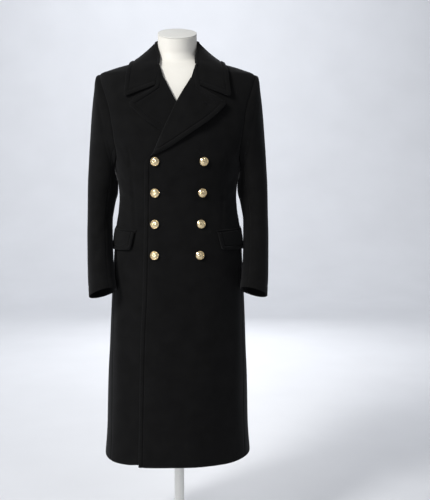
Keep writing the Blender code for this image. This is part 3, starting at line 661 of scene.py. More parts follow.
def armhole_turn(height, column):
    """Turn of the outer edge of a front or a back: side seam, armhole, then shoulder seam."""
    side_seam = np.radians(SIDE.at(height).turn)
    armhole = np.radians(getattr(ARMHOLE.at(np.clip(height, ARMHOLE_FOOT, ARMHOLE_TOP)), column))
    return np.where(height <= ARMHOLE_FOOT, side_seam,
                    np.where(height >= ARMHOLE_TOP, pi / 2, armhole))


def seam_relief(distance):
    """The pressed seam: both pieces turn in beside it."""
    return -SEAM_DEPTH * bell(distance, SEAM_WIDTH)


def skirt_swing(height):
    """The skirt's right side stands out more the lower it is."""
    return SKIRT_SWING * (1 - fade(height, *SWING_HEIGHTS))


def near_hem(height):
    """1 at the hem, and 0 from HEM_REACH above it."""
    return 1 - fade(height, HEM, HEM + HEM_REACH)


def dart_relief(x, height):
    """The long dart from the chest to the pocket."""
    line = np.interp(height, (0.98, 1.043, 1.143, 1.214), (0.122, 0.127, 0.1325, 0.141))
    ends = fade(height, 0.965, 0.985) * (1 - fade(height, 1.19, 1.225))
    return (-0.0016 * bell(x - line, 0.0035) + 0.0006 * bell(x - line - 0.009, 0.006)) * ends


def grid_distances(points):
    """Distances along the rows and columns of a grid from its four sides."""
    across = np.linalg.norm(np.diff(points, axis=1), axis=-1)
    along = np.linalg.norm(np.diff(points, axis=0), axis=-1)
    first = np.hstack((np.zeros((len(points), 1)), np.cumsum(across, axis=1)))
    up = np.vstack((np.zeros((1, points.shape[1])), np.cumsum(along, axis=0)))
    return first, first[:, -1:] - first, up, up[-1:] - up


def steeper_roll(side, height):
    """The right front turns back further from the middle than the left one."""
    share = fade(height, 1.20, 1.28) * (1 - fade(height, 1.34, 1.43))
    return STEEPER_ROLL[side] * share


def front_edge_curl(side, height, from_edge):
    """The lapped edge, on the left, springs forward below the break."""
    near_break = fade(height, 1.02, 1.16) * (1 - fade(height, BREAK, BREAK + 0.05))
    return EDGE_CURL[side] * near_break * bell(from_edge, EDGE_CURL_WIDTH)


class COAT_OT_fronts(bpy.types.Operator):
    """Make the two fronts, the wearer's left one lapped over the right one."""

    bl_idname = "coat.fronts"
    bl_label = "Fronts"

    def execute(self, context):
        for side_name, side in SIDES:
            self.front(side_name, side)
        return {"FINISHED"}

    def front(self, side_name, side):
        s = sizes()
        height = body_heights()[:, None]
        edge_x = FRONT.at(height).x
        under_lapel = (UNDER_LAPEL * fade(height, BREAK, BREAK + 0.02)
                       * (1 - fade(height, 1.45, 1.47)))
        inner = turn_at(edge_x + under_lapel + steeper_roll(side, height), height)
        outer = armhole_turn(height, "front_turn")
        coarse = np.linspace(0, 1, 40)[None, :]
        lengths = grid_distances(body_points(mix(inner, outer, coarse), height))[0][:, -1]
        share = shares_with_margins(lengths, STITCHED_MARGINS, SEAM_MARGINS, 54)
        turn = mix(inner, outer - s.seam_gap / 2 / SEAM_RADIUS, share)
        height = np.broadcast_to(height, turn.shape)
        base = front_points(1, turn, height, np.zeros(turn.shape))
        from_edge, from_side, from_hem, _ = grid_distances(base)
        x = body_points(turn, height)[..., 0]
        lapped = 1 - fade(height, BREAK - 0.03, BREAK + 0.01)
        lift = crease_relief(FRONT_CREASES, turn, height, BODY_RADIUS) * fade(from_edge, 0.01, 0.05)
        lift = lift + border_relief(from_edge, s.stitch_margin) * lapped
        at_shoulder = 1 - 0.6 * fade(height, 1.39, 1.425)
        lift = lift + seam_relief(from_side) * at_shoulder + dart_relief(x, height)
        lift = lift + self.hem_sway(turn, height, from_edge)
        if side > 0:
            lift = lift + front_edge_curl(side, height, from_edge)
        else:
            lift = lift + skirt_swing(height) * fade(turn, radians(25), radians(61))
        face = front_points(side, turn, height, lift)
        face[..., 2] += getattr(HEM_RISE.at(x), side_name) * near_hem(height)
        normals = mirrored(body_normals(turn, height), side)
        cut = np.minimum(from_edge, from_hem)
        item = cloth_object(f"front_{side_name}_cloth", face, normals, s.cloth, "melton", cut)
        declare_cloth(item, [f"front_{side_name}"])

    def hem_sway(self, turn, height, from_edge):
        """The skirt's lower part swings out and in a little."""
        low = 1 - fade(height, HEM, HEM + 0.25)
        sway = FRONT_SWAY * np.sin(turn * SWAY_WAVES + SWAY_START)
        return sway * low * fade(from_edge, 0.0, 0.08)


class COAT_OT_backs(bpy.types.Operator):
    """Make the two backs, which meet at the centre seam."""

    bl_idname = "coat.backs"
    bl_label = "Backs"

    def execute(self, context):
        for side_name, side in SIDES:
            self.back(side_name, side)
        return {"FINISHED"}

    def back(self, side_name, side):
        s = sizes()
        height = body_heights()[:, None]
        outer = armhole_turn(height, "back_turn")
        coarse = np.linspace(0, 1, 40)[None, :]
        lengths = grid_distances(body_points(mix(outer, pi, coarse), height))[0][:, -1]
        share = shares_with_margins(lengths, SEAM_MARGINS, SEAM_MARGINS, 56)
        gap = s.seam_gap / 2 / SEAM_RADIUS
        turn = mix(outer + gap, pi - gap, share)
        height = np.broadcast_to(height, turn.shape)
        from_side, from_centre, from_hem, _ = grid_distances(body_points(turn, height))
        lift = crease_relief(BACK_CREASES, turn, height, BODY_RADIUS) * fade(from_centre, 0.0, 0.03)
        lift = lift + seam_relief(from_side) + seam_relief(from_centre)
        lift = lift + (BACK_SWAY * np.sin(turn * SWAY_WAVES + SWAY_START) * near_hem(height)
                       * fade(from_centre, 0.0, 0.06))
        if side < 0:
            lift = lift + skirt_swing(height) * (1 - fade(turn, radians(100), radians(150)))
        normals = body_normals(turn, height)
        face = mirrored(body_points(turn, height) + normals * lift[..., None], side)
        seam = body_points(np.radians(SIDE.at(height).turn), height)[..., 0]
        rise = getattr(HEM_RISE.at(seam), side_name) * (1 - fade(turn, radians(61), radians(120)))
        face[..., 2] += rise * near_hem(height)
        item = cloth_object(f"back_{side_name}_cloth", face, mirrored(normals, side), s.cloth,
                            "melton", from_hem)
        declare_cloth(item, [f"back_{side_name}"])


def armhole_points(around):
    """Points and normals of the armhole. around is positive in front and negative behind."""
    middle = (ARMHOLE_TOP + ARMHOLE_FOOT) / 2
    height = middle + (ARMHOLE_TOP - middle) * np.cos(around)
    row = ARMHOLE.at(height)
    turn = np.radians(np.where(np.sin(around) > 0, row.front_turn, row.back_turn))
    return body_points(turn, height), body_normals(turn, height)


def sleeve_ring(around, ring):
    """Points of one ring of a sleeve. around is 0 outside and grows towards the front."""
    middle_x = (ring.outer_x + ring.inner_x) / 2
    middle_z = (ring.outer_z + ring.inner_z) / 2
    x = middle_x + (ring.outer_x - ring.inner_x) / 2 * np.cos(around)
    y = ring.middle_y - ring.half_depth * np.sin(around)
    z = middle_z + (ring.outer_z - ring.inner_z) / 2 * np.cos(around)
    return np.stack((x, y, z + ring.rise * ring.half_depth * np.sin(around)), axis=-1)


def sleeve_surface(around, station):
    """Points of a sleeve, drawn to the armhole where the station is near 0."""
    around, station = np.broadcast_arrays(around, station)
    ring = SLEEVE.at(station)
    to_armhole = armhole_points(around)[0] - sleeve_ring(around, SLEEVE.at(np.zeros(around.shape)))
    to_armhole[..., 0] += 0.0005
    return sleeve_ring(around, ring) + to_armhole * ring.armhole[..., None]


def sleeve_normals(around, station):
    """Ways out of a sleeve. At the armhole's top they are the body's own."""
    near = np.maximum(station, 0.02)
    out = normals_of(sleeve_surface, around, near, -0.02, -0.02)
    at_seam = SLEEVE.at(station).armhole * np.maximum(np.cos(around), 0)
    return unit(mix(out, armhole_points(around)[1], at_seam[..., None]))


class COAT_OT_sleeves(bpy.types.Operator):
    """Make the sleeves, each a top piece and an under piece."""

    bl_idname = "coat.sleeves"
    bl_label = "Sleeves"

    def execute(self, context):
        middle = (ARMHOLE_TOP + ARMHOLE_FOOT) / 2
        front_seam = np.arccos((FRONT_SLEEVE_SEAM - middle) / (ARMHOLE_TOP - middle))
        back_seam = np.arccos((BACK_SLEEVE_SEAM - middle) / (ARMHOLE_TOP - middle))
        for side_name, side in SIDES:
            self.piece(side_name, side, "top", -back_seam, front_seam, (0.24, 0.68), 0.118)
            self.piece(side_name, side, "under", front_seam, 2 * pi - back_seam, (0.15, 0.46),
                       0.055)
        return {"FINISHED"}

    def piece(self, side_name, side, part, start, end, flat, area):
        s = sizes()
        stations = np.concatenate((
            (0, 0.02, 0.06, 0.12, 0.2, 0.32, 0.46, 0.62, 0.8), np.arange(1.0, 12.93, 0.085),
            (12.94, 12.96, 12.975, 12.988, 12.996, 13.0)))[:, None]
        gap = s.seam_gap / 2 / 0.07
        coarse = np.linspace(start, end, 40)[None, :]
        lengths = grid_distances(sleeve_surface(coarse, stations))[0][:, -1]
        count = 64 if part == "top" else 34
        share = shares_with_margins(lengths, SEAM_MARGINS, SEAM_MARGINS, count)
        around = mix(start + gap, end - gap, share)
        station = np.broadcast_to(stations, around.shape)
        base = sleeve_surface(around, station)
        from_a, from_b, from_armhole, from_cuff = grid_distances(base)
        turned = np.where(around > pi, around - 2 * pi, around)
        arc = self.crease(turned, station)
        lift = arc * fade(from_armhole, 0.004, 0.03) * fade(from_cuff, 0.0, 0.03)
        lift = lift + seam_relief(from_a) + seam_relief(from_b)
        lift = lift - 0.0012 * bell(from_armhole, 0.0030)
        lift = lift + 0.0011 * bell(from_armhole - 0.012, 0.009) * np.maximum(np.cos(around), 0)
        lift = lift - 0.0007 * bell(from_cuff - 0.030, 0.0030)
        out = sleeve_normals(turned, station)
        face = mirrored(base + out * lift[..., None], side)
        item = cloth_object(f"sleeve_{side_name}_{part}_cloth", face, mirrored(out, side),
                            s.cloth, "melton", from_cuff)
        declare_cloth(item, [f"sleeve_{side_name}_{part}"])

    def crease(self, around, station):
        """Creases at the sleeve's head, elbow and forearm. A station is about 50 mm."""
        scaled = [row._replace(height_a=row.height_a * STATION_LENGTH,
                               height_b=row.height_b * STATION_LENGTH)
                  for row in map(Crease._make, SLEEVE_CREASES)]
        return crease_relief(scaled, around, station * STATION_LENGTH, SLEEVE_RADIUS)


def distance_off_body(points):
    """Signed distances from the body, good near it, and the ways out."""
    def outline(p):
        ring = BODY.at(p[..., 2])
        depth = np.where(p[..., 1] < 0, ring.front_depth, ring.back_depth)
        x = np.abs(p[..., 0]) / np.maximum(ring.half_width, 0.004)
        y = np.abs(p[..., 1]) / np.maximum(depth, 0.004)
        return (x ** ring.squareness + y ** ring.squareness) ** (1 / ring.squareness)
    step = 0.0005
    here = outline(points)
    slope = np.stack([(outline(points + axis) - outline(points - axis)) / (2 * step)
                      for axis in np.eye(3) * step], axis=-1)
    steep = np.linalg.norm(slope, axis=-1)
    return (here - 1) / steep, slope / steep[..., None]


def pushed_off_body(points, clearance):
    """The points, moved out softly where they are nearer to the body than clearance."""
    for _ in range(3):
        distance, out = distance_off_body(points)
        short = clearance - distance
        points = points + out * ((short + np.sqrt(short * short + 0.001 ** 2)) / 2)[..., None]
    return points


def collar_section(station):
    """Foot, crest and outer edge of the collar at the stations, and the way its fold faces."""
    s = sizes()
    row = COLLAR.at(station)
    foot = body_points(np.radians(row.foot_turn), row.foot_z)
    crest = np.stack((row.crest_x, row.crest_y, row.crest_z), axis=-1)
    edge = np.zeros(crest.shape)
    reach = EDGE_REACH * np.clip((1 - station) / 0.1, 0, 1)
    for offset, weight in EDGE_WEIGHTS:
        near = station + offset * reach
        row = COLLAR.at(near)
        turn = np.radians(row.edge_turn)
        lie = mix(s.edge_gap, s.layer_gap, fade(near, 0.5, 0.75)) + s.double
        lie = lie + COLLAR_STAND_OFF * fade(near, 0.5, 0.8)
        edge += weight * (body_points(turn, row.edge_z)
                          + body_normals(turn, row.edge_z) * lie[..., None])
    outward = (edge - crest) * np.array((1, 1, 0))
    return foot, crest, edge, unit(outward)


def rounded_corner(x, z, corner, inward, reach, depth):
    """Places near a corner, drawn in so that the outline turns in a soft arc."""
    near = np.clip(1 - np.hypot(x - corner[0], z - corner[1]) / reach, 0, 1)
    return x + inward[0] * depth * near ** 2, z + inward[1] * depth * near ** 2


def collar_end(share):
    """Points of the collar's front end, lying on the front."""
    s = sizes()
    row = COLLAR_END.at(share)
    turn = turn_at(row.x, row.z)
    lie = s.layer_gap + s.double + COLLAR_STAND_OFF * fade(share, 0.45, 1.0)
    return body_points(turn, row.z) + body_normals(turn, row.z) * lie[..., None]


def collar_surface(station, across):
    """Face of the collar: the stand below -CREST_SHARE, the fold, then the fall."""
    s = sizes()
    station, across = np.broadcast_arrays(station, across)
    foot, crest, edge, outward = collar_section(station)
    up = np.array((0.0, 0.0, 1.0))
    centre = crest - up * ROLL_RADIUS
    stand = mix(foot, centre - outward * ROLL_RADIUS,
                ((across + 1) / (1 - CREST_SHARE))[..., None])
    angle = (pi * (CREST_SHARE - across) / (2 * CREST_SHARE))[..., None]
    roll = centre + (outward * np.cos(angle) + up * np.sin(angle)) * ROLL_RADIUS
    share = np.clip((across - CREST_SHARE) / (1 - CREST_SHARE), 0, 1.2)
    start = centre + outward * ROLL_RADIUS
    sag = COLLAR_SAG * np.sin(pi * np.clip(share, 0, 1)) * (1 - station)
    fall = mix(start, edge, share[..., None]) - up * sag[..., None]
    _, last_crest, last_edge, last_outward = collar_section(np.ones(1))
    last_start = last_crest[0] + (last_outward[0] - up) * ROLL_RADIUS
    turned = collar_end(share) - mix(last_start, last_edge[0], share[..., None])
    turned = turned - (collar_end(0.0) - last_start) * (1 - fade(share, 0.0, 0.15))[..., None]
    fall = fall + turned * (fade(station, END_START, 1.0) ** 1.5)[..., None]
    low = fade(share, 0.0, 0.12) * (1 - fade(fall[..., 2], 1.470, 1.480))
    pushed = pushed_off_body(fall, (s.edge_gap + s.double) * fade(share, 0.0, 0.2))
    fall = mix(fall, pushed, low[..., None])
    below = (across < -CREST_SHARE)[..., None]
    return np.where(below, stand, np.where((across < CREST_SHARE)[..., None], roll, fall))


class COAT_OT_collar(bpy.types.Operator):
    """Make the folded collar with its stand and its fall."""

    bl_idname = "coat.collar"
    bl_label = "Collar"

    def execute(self, context):
        s = sizes()
        half = np.concatenate((np.linspace(0, 0.94, 96), 1 - np.array(
            (0.05, 0.04, 0.031, 0.023, 0.016, 0.010, 0.006, 0.003, 0.001, 0.0))))
        station = np.concatenate((-half[:0:-1], half))[:, None]
        fall = shares_with_margins(np.array((0.095,)), (0.0,), STITCHED_MARGINS, 36)[0]
        across = np.concatenate((np.linspace(-1, -CREST_SHARE, 12)[:-1],
                                 np.linspace(-CREST_SHARE, CREST_SHARE, 13)[:-1],
                                 CREST_SHARE + (1 - CREST_SHARE) * fall))[None, :]
        side = np.where(station < 0, -1.0, 1.0)
        near = np.clip(np.abs(station), 0.003, 0.997)
        base = collar_surface(np.abs(station), across)
        out = normals_of(collar_surface, near, np.clip(across, -0.997, 0.997), 0.003, 0.003)
        to_side = np.stack((side, np.ones_like(side), np.ones_like(side)), axis=-1)
        x, z = rounded_corner(base[..., 0], base[..., 2], (base[-1, -1, 0], base[-1, -1, 2]),
                              COLLAR_CORNER_INWARD, 0.0125, 0.0065)
        y = base[..., 1] + (z - base[..., 2]) * 0.25
        base = np.stack((x, y, z), axis=-1) * to_side
        out = unit(out * to_side)
        _, off_body = distance_off_body(base)
        flat_end = fade(np.abs(station), 0.8, 0.95) * fade(across, CREST_SHARE, CREST_SHARE + 0.1)
        out = unit(mix(out, off_body, flat_end[..., None]))
        first_fall = int(np.searchsorted(across[0], CREST_SHARE))
        notch = int(np.searchsorted(across[0], mix(CREST_SHARE, 1.0, COLLAR_END_ROWS[2][0])))
        edges = [dense(base[:, -1])] + [dense(base[row, notch:]) for row in (0, -1)]
        distance = distance_to_line(base, np.concatenate(edges))
        lift = np.where(across > CREST_SHARE, border_relief(distance, s.stitch_margin), 0.0)
        lift = lift * fade(across, CREST_SHARE, CREST_SHARE + 0.15)
        sway = 0.0009 * np.sin(station * 9.0 + 0.6) * np.sin(pi * np.clip(across, 0, 1))
        face = base + out * (lift + sway)[..., None]
        from_foot, from_edge, from_first, from_last = grid_distances(base)
        sewn = 1 - fade(across, across[0, notch] - 0.05, across[0, notch])
        rim = np.minimum(from_first, from_last) + s.double * sewn
        rim = np.minimum.reduce((from_foot, from_edge, rim))
        item = cloth_object("collar_cloth", face, out, s.double, "melton", rim)
        declare_cloth(item, ["collar"])
        context.scene["collar_line"] = edge_line(face, out, distance, s.stitch_margin, first_fall)
        return {"FINISHED"}


def edge_line(face, out, distance, margin, first=0):
    """The stitching's line on a grid: where each row last comes to the margin from its edge."""
    line = []
    for row in range(len(face)):
        inside = np.nonzero(distance[row, first:] >= margin)[0]
        if len(inside) == 0:
            continue
        i = first + inside[-1]
        if i + 1 >= face.shape[1]:
            continue
        share = (distance[row, i] - margin) / max(distance[row, i] - distance[row, i + 1], 1e-9)
        share = min(max(share, 0.0), 1.0)
        point = mix(face[row, i], face[row, i + 1], share)
        line.append([*point, *out[row, i]])
    return [value for entry in line for value in entry]


def lapel_grid(side, along, across):
    """Places of a lapel's points as seen from the front. Below 0, across goes round the roll."""
    row = LAPEL.at(along)
    soft = LAPEL_EDGE.at(np.minimum(along, TIP_SHARE))
    below_tip = along < TIP_SHARE
    edge_x = np.where(below_tip, soft.x, row.edge_x)
    edge_z = np.where(below_tip, soft.z, row.edge_z)
    flat = np.clip(across, 0, 1)
    start_x = row.roll_x + ROLL_WIDTH + steeper_roll(side, row.roll_z)
    x = mix(start_x, edge_x, flat)
    z = mix(row.roll_z, edge_z, flat)
    x, z = rounded_corner(x, z, LAPEL_TIP, LAPEL_TIP_INWARD, 0.0100, 0.0045)
    return x, z


class COAT_OT_lapels(bpy.types.Operator):
    """Make the turned-back lapels, with a soft roll at the front's edge."""

    bl_idname = "coat.lapels"
    bl_label = "Lapels"

    def execute(self, context):
        for side_name, side in SIDES:
            self.lapel(context, side_name, side)
        return {"FINISHED"}

    def lapel(self, context, side_name, side):
        s = sizes()
        along = np.unique(np.concatenate((
            np.linspace(0, TIP_SHARE, 84), TIP_SHARE + np.array((-0.004, 0.004)),
            np.linspace(TIP_SHARE, GORGE_SHARE, 26), np.linspace(GORGE_SHARE, 0.96, 12),
            np.linspace(0.96, 1.0, 10))))[:, None]
        row = LAPEL.at(along)
        width = np.hypot(row.edge_x - row.roll_x, row.edge_z - row.roll_z)[:, 0]
        flat = shares_with_margins(width, (0.0,), STITCHED_MARGINS, 56)
        roll = np.linspace(-1, 0, 9)[:-1]
        across = np.hstack((np.broadcast_to(roll, (len(along), len(roll))), flat))
        along = np.broadcast_to(along, across.shape)
        x, z = lapel_grid(side, along, across)
        turn = turn_at(x, z)
        share = np.clip(across, 0, 1)
        lie = mix(s.edge_gap, s.layer_gap, fade(share, 0.0, 0.3)) + s.double
        lie = lie + self.stand_off(side, x, z, share, along) + self.belly(share, along)
        lie = lie - 0.0015 * fade(along, 0.985, 1.0)
        base = front_points(side, turn, z, lie)
        out = mirrored(body_normals(turn, z), side)
        outline = np.concatenate((dense(base[:, -1]), dense(base[0, len(roll):])))
        distance = distance_to_line(base, outline)
        lift = border_relief(distance, s.stitch_margin) * (1 - fade(along, 0.925, 0.945))
        lift = lift + 0.0008 * np.sin(11 * along + 5 * share) * np.sin(pi * share)
        face = base + out * lift[..., None]
        angle = np.where(across < 0, -across * radians(135), 0)
        inward = unit(base[:, len(roll) + 1:len(roll) + 2] - base[:, len(roll):len(roll) + 1])
        face = face - inward * (ROLL_WIDTH * np.sin(angle))[..., None]
        face = face - out * (ROLL_HEIGHT * (1 - np.cos(angle)))[..., None]
        turned = out * np.cos(angle)[..., None] - inward * np.sin(angle)[..., None]
        rim = np.minimum(grid_distances(face)[1], grid_distances(face)[2])
        rim = rim + s.double * fade(along, 0.925, 0.932)
        item = cloth_object(f"lapel_{side_name}_cloth", face, unit(turned), s.double, "melton",
                            rim)
        declare_cloth(item, [f"lapel_{side_name}"])
        last = int(np.searchsorted(along[:, 0], GORGE_SHARE))
        context.scene[f"lapel_line_{side_name}"] = edge_line(face[:last], out[:last],
                                                             distance[:last], s.stitch_margin,
                                                             len(roll))

    def stand_off(self, side, x, height, across, along):
        """The free edge springs off the front, less under the other front."""
        free = LAPEL_STAND_OFF * across ** 2 * fade(along, 0.05, 0.6)
        free = free * (1 - fade(along, 0.82, GORGE_SHARE))
        if side < 0:
            cover = -FRONT.at(height).x
            free = free * fade(x, cover + 0.002, cover + 0.055)
        return free

    def belly(self, across, along):
        """The roll is full near the break and flat further up."""
        return 0.0042 * np.sin(pi * across ** 0.6) * (1 - fade(along, 0.1, 0.55))


class COAT_OT_pockets(bpy.types.Operator):
    """Make the pocket flaps and the narrow jets above them."""

    bl_idname = "coat.pockets"
    bl_label = "Pocket flaps"

    def execute(self, context):
        for side_name, side in SIDES:
            self.flap(context, side_name, side)
            self.jet(side_name, side)
        return {"FINISHED"}

    def flap(self, context, side_name, side):
        s = sizes()
        depth = sum(FLAP_DEPTHS) / 2
        down = shares_with_margins(np.array((depth,)), (0.0, 0.0006, 0.0014, 0.0028),
                                   STITCHED_MARGINS, 16)[0][:, None]
        height = FLAP_TOP - depth * down
        left = np.clip((depth * down - (depth - FLAP_CORNER)) / FLAP_CORNER, 0, 1)
        corner = FLAP_CORNER * (1 - np.sqrt(np.maximum(1 - left ** 2, 0)))
        first = turn_at(FLAP_FRONT_X[side_name] + FLAP_SLANT * down + corner, height)
        last = radians(FLAP_REAR_TURN) - corner / 0.17
        coarse = np.linspace(0, 1, 30)[None, :]
        lengths = grid_distances(body_points(mix(first, last, coarse), height))[0][:, -1]
        share = shares_with_margins(lengths, STITCHED_MARGINS, STITCHED_MARGINS, 30)
        turn = mix(first, last, share)
        height = FLAP_TOP - mix(*FLAP_DEPTHS, share) * down
        lie = s.edge_gap + (s.layer_gap - s.edge_gap) * fade(down, 0.0, 0.4) + s.double
        lie = lie + 0.0014 * fade(down, 0.2, 1.0) * np.sin(pi * share) ** 0.5
        base = front_points(1, turn, height, np.broadcast_to(lie, turn.shape))
        outline = np.concatenate((dense(base[:, 0]), dense(base[-1]), dense(base[:, -1])))
        distance = distance_to_line(base, outline)
        margin = s.stitch_margin * FLAP_MARGIN_SHARE
        lift = border_relief(distance, margin) - 0.0012 * bell(down, 0.03)
        out = body_normals(turn, height)
        face = mirrored(base + out * lift[..., None], side)
        out = mirrored(out, side)
        item = cloth_object(f"pocket_flap_{side_name}_cloth", face, out, s.double, "melton",
                            distance)
        declare_cloth(item, [f"pocket_flap_{side_name}"])
        row = int(np.searchsorted(down[:, 0] * depth, depth - margin))
        column = int(np.searchsorted(np.array(STITCHED_MARGINS), margin))
        path = [(face[j, column], out[j, column]) for j in range(3, row)]
        path += [(face[row, i], out[row, i]) for i in range(column, face.shape[1] - column)]
        path += [(face[j, -column - 1], out[j, -column - 1]) for j in range(row - 1, 2, -1)]
        context.scene[f"flap_line_{side_name}"] = [v for p, n in path for v in (*p, *n)]

    def jet(self, side_name, side):
        """A narrow welt that the flap hangs from."""
        height = np.linspace(FLAP_TOP + 0.0012, FLAP_TOP + 0.0062, 9)[:, None]
        first = turn_at(FLAP_FRONT_X[side_name] - 0.003, height)
        turn = mix(first, radians(FLAP_REAR_TURN + 0.8), np.linspace(0, 1, 60)[None, :])
        height = np.broadcast_to(height, turn.shape)
        up = (height - FLAP_TOP - 0.0037) / 0.0025
        lift = 0.0006 + 0.0016 * np.sqrt(np.maximum(1 - up ** 2, 0))
        face = front_points(side, turn, height, lift)
        out = mirrored(body_normals(turn, height), side)
        item = cloth_object(f"pocket_jet_{side_name}", face, out, 0.0005, "melton")
        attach(item, "root")


def joined_marks(name, points, normals, runs, length, width, height, material):
    """Many small raised marks, such as stitches, as one mesh of rounded blocks."""
    ring = ((-0.5, 0.0, 0.0), (-0.38, 0.42, 0.75), (-0.38, -0.42, 0.75), (0.38, 0.42, 0.75),
            (0.38, -0.42, 0.75), (0.5, 0.0, 0.0), (0.0, 0.5, 0.15), (0.0, -0.5, 0.15),
            (0.0, 0.0, 1.0), (0.0, 0.0, -0.6))
    faces = ((0, 2, 1), (1, 2, 8), (1, 8, 3), (3, 8, 4), (8, 2, 4), (3, 4, 5), (0, 1, 6), (1, 3, 6),
             (3, 5, 6), (2, 0, 7), (4, 2, 7), (5, 4, 7), (6, 9, 0), (9, 6, 5), (7, 9, 5), (9, 7, 0))
    verts = []
    polygons = []
    for point, normal, run in zip(points, normals, runs):
        run = run - normal * np.dot(run, normal)
        run = run / np.linalg.norm(run)
        side = np.cross(normal, run)
        first = len(verts)
        verts += [tuple(point + run * a * length + side * b * width + normal * c * height)
                  for a, b, c in ring]
        polygons += [tuple(first + i for i in face) for face in faces]
    item = smooth_mesh(name, verts, polygons, material, recalculate)
    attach(item, "root")
    return item


def resampled(line, step):
    """Points, normals and directions at even steps along a line of points with normals."""
    line = np.asarray(line, dtype=float).reshape(-1, 6)
    run = np.concatenate(([0], np.cumsum(np.linalg.norm(np.diff(line[:, :3], axis=0), axis=1))))
    at = np.arange(step / 2, run[-1], step)
    values = np.stack([np.interp(at, run, line[:, k]) for k in range(6)], axis=-1)
    ahead = np.stack([np.interp(at + step / 2, run, line[:, k]) for k in range(3)], axis=-1)
    behind = np.stack([np.interp(at - step / 2, run, line[:, k]) for k in range(3)], axis=-1)
    return values[:, :3], unit(values[:, 3:]), unit(ahead - behind)


class COAT_OT_sewing(bpy.types.Operator):
    """Make the stitches along the edges and the worked buttonholes."""

    bl_idname = "coat.sewing"
    bl_label = "Stitching and buttonholes"

    def execute(self, context):
        s = sizes()
        scene = context.scene
        for name in ("collar_line", "lapel_line_left", "lapel_line_right", "flap_line_left",
                     "flap_line_right"):
            self.stitch(name.replace("line", "stitches"), scene[name].to_list())
        for side_name, side in SIDES:
            height = np.arange(HEM + 0.006, BREAK - 0.004, 0.004)
            x = FRONT.at(height).x + s.stitch_margin
            turn = turn_at(x, height)
            lift = front_edge_curl(side, height, s.stitch_margin) - STITCH_SINK
            points = front_points(side, turn, height, lift)
            out = mirrored(body_normals(turn, height), side)
            self.stitch(f"front_stitches_{side_name}", np.hstack((points, out)).ravel())
        self.buttonholes()
        return {"FINISHED"}

    def stitch(self, name, line):
        s = sizes()
        points, normals, runs = resampled(line, s.stitch_length)
        joined_marks(name, points, normals, runs, s.stitch_length * STITCH_SHARE, s.thread,
                     s.thread * THREAD_FLATNESS,
                     "thread")

    def buttonholes(self):
        """Worked holes: one in the left lapel, and four under the buttons of the lapped edge."""
        holes = [(0.0700, 1.3440, 0.0950, 1.3330, True)]
        for height in BUTTON_HEIGHTS:
            x = button_x("right", height)
            holes.append((x - 0.004, height + 0.0003, x + 0.0255, height - 0.0006, False))
        for index, hole in enumerate(holes):
            self.buttonhole(f"buttonhole_{index + 1}", *hole)

    def buttonhole(self, name, x_a, z_a, x_b, z_b, on_lapel):
        """A dense ring of stitches round a slit."""
        s = sizes()
        run = np.array((x_b - x_a, z_b - z_a))
        length = np.hypot(*run)
        run = run / length
        side = np.array((-run[1], run[0]))
        half = 0.0016
        step = 0.0008
        straight = np.arange(0, length, step)
        round_end = np.linspace(0, pi, 8)[1:-1]
        ring = [(a, half, 0.0, 1.0) for a in straight]
        ring += [(length + half * sin(t), half * cos(t), sin(t), cos(t)) for t in round_end]
        ring += [(a, -half, 0.0, -1.0) for a in straight[::-1]]
        ring += [(-half * sin(t), -half * cos(t), -sin(t), -cos(t)) for t in round_end]
        ring = np.array(ring)
        x = x_a + ring[:, 0] * run[0] + ring[:, 1] * side[0]
        z = z_a + ring[:, 0] * run[1] + ring[:, 1] * side[1]
        lift = np.full(x.shape, 0.0002)
        if on_lapel:
            lift = lift + s.layer_gap + s.double + LAPEL_STAND_OFF * HOLE_LIFT_SHARE
        turn = turn_at(x, z)
        points = front_points(1, turn, z, lift)
        normals = body_normals(turn, z)
        way = ring[:, 2:3] * run[None, :] + ring[:, 3:4] * side[None, :]
        runs = np.stack((way[:, 0], np.zeros(len(way)), way[:, 1]), axis=-1)
        joined_marks(name, points, normals, runs, 0.0022, 0.0009, 0.0006, "thread")


def fresh_selection():
    """Leave edit mode with nothing selected."""
    if bpy.context.object and bpy.context.object.mode != "OBJECT":
        bpy.ops.object.mode_set(mode="OBJECT")
    bpy.ops.object.select_all(action="DESELECT")


def edit_all():
    """Go into edit mode with everything selected."""
    bpy.ops.object.mode_set(mode="EDIT")
    bpy.ops.mesh.select_all(action="SELECT")


def leave_closed_form():
    """Turn all faces outward and leave edit mode."""
    bpy.ops.mesh.select_all(action="SELECT")
    bpy.ops.mesh.normals_make_consistent(inside=False)
    bpy.ops.object.mode_set(mode="OBJECT")


def apply_place():
    """Put the selected piece's place, turn and scale in its mesh."""
    bpy.ops.object.transform_apply(location=True, rotation=True, scale=True)


def settle(item, name, material):
    """Name a modelled piece, put its place in its mesh and give it its finish."""
    fresh_selection()
    item.select_set(True)
    bpy.context.view_layer.objects.active = item
    apply_place()
    item.name = name
    item.data.name = name
    item.data.materials.clear()
    item.data.materials.append(bpy.data.materials[material])
    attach(item, "root")
    return item


def drawn_up(steps, vertices, angle):
    """A turned form: a filled circle, drawn up through steps of radius and height."""
    fresh_selection()
    bpy.ops.mesh.primitive_circle_add(vertices=vertices, radius=steps[0][0], fill_type="NGON")
    item = bpy.context.object
    edit_all()
    for (r0, z0), (r1, z1) in zip(steps, steps[1:]):
        bpy.ops.mesh.extrude_region_move(TRANSFORM_OT_translate={"value": (0, 0, z1 - z0)})
        bpy.ops.transform.resize(value=(r1 / r0, r1 / r0, 1))
    leave_closed_form()
    bpy.ops.object.shade_smooth_by_angle(angle=radians(angle))
    return item


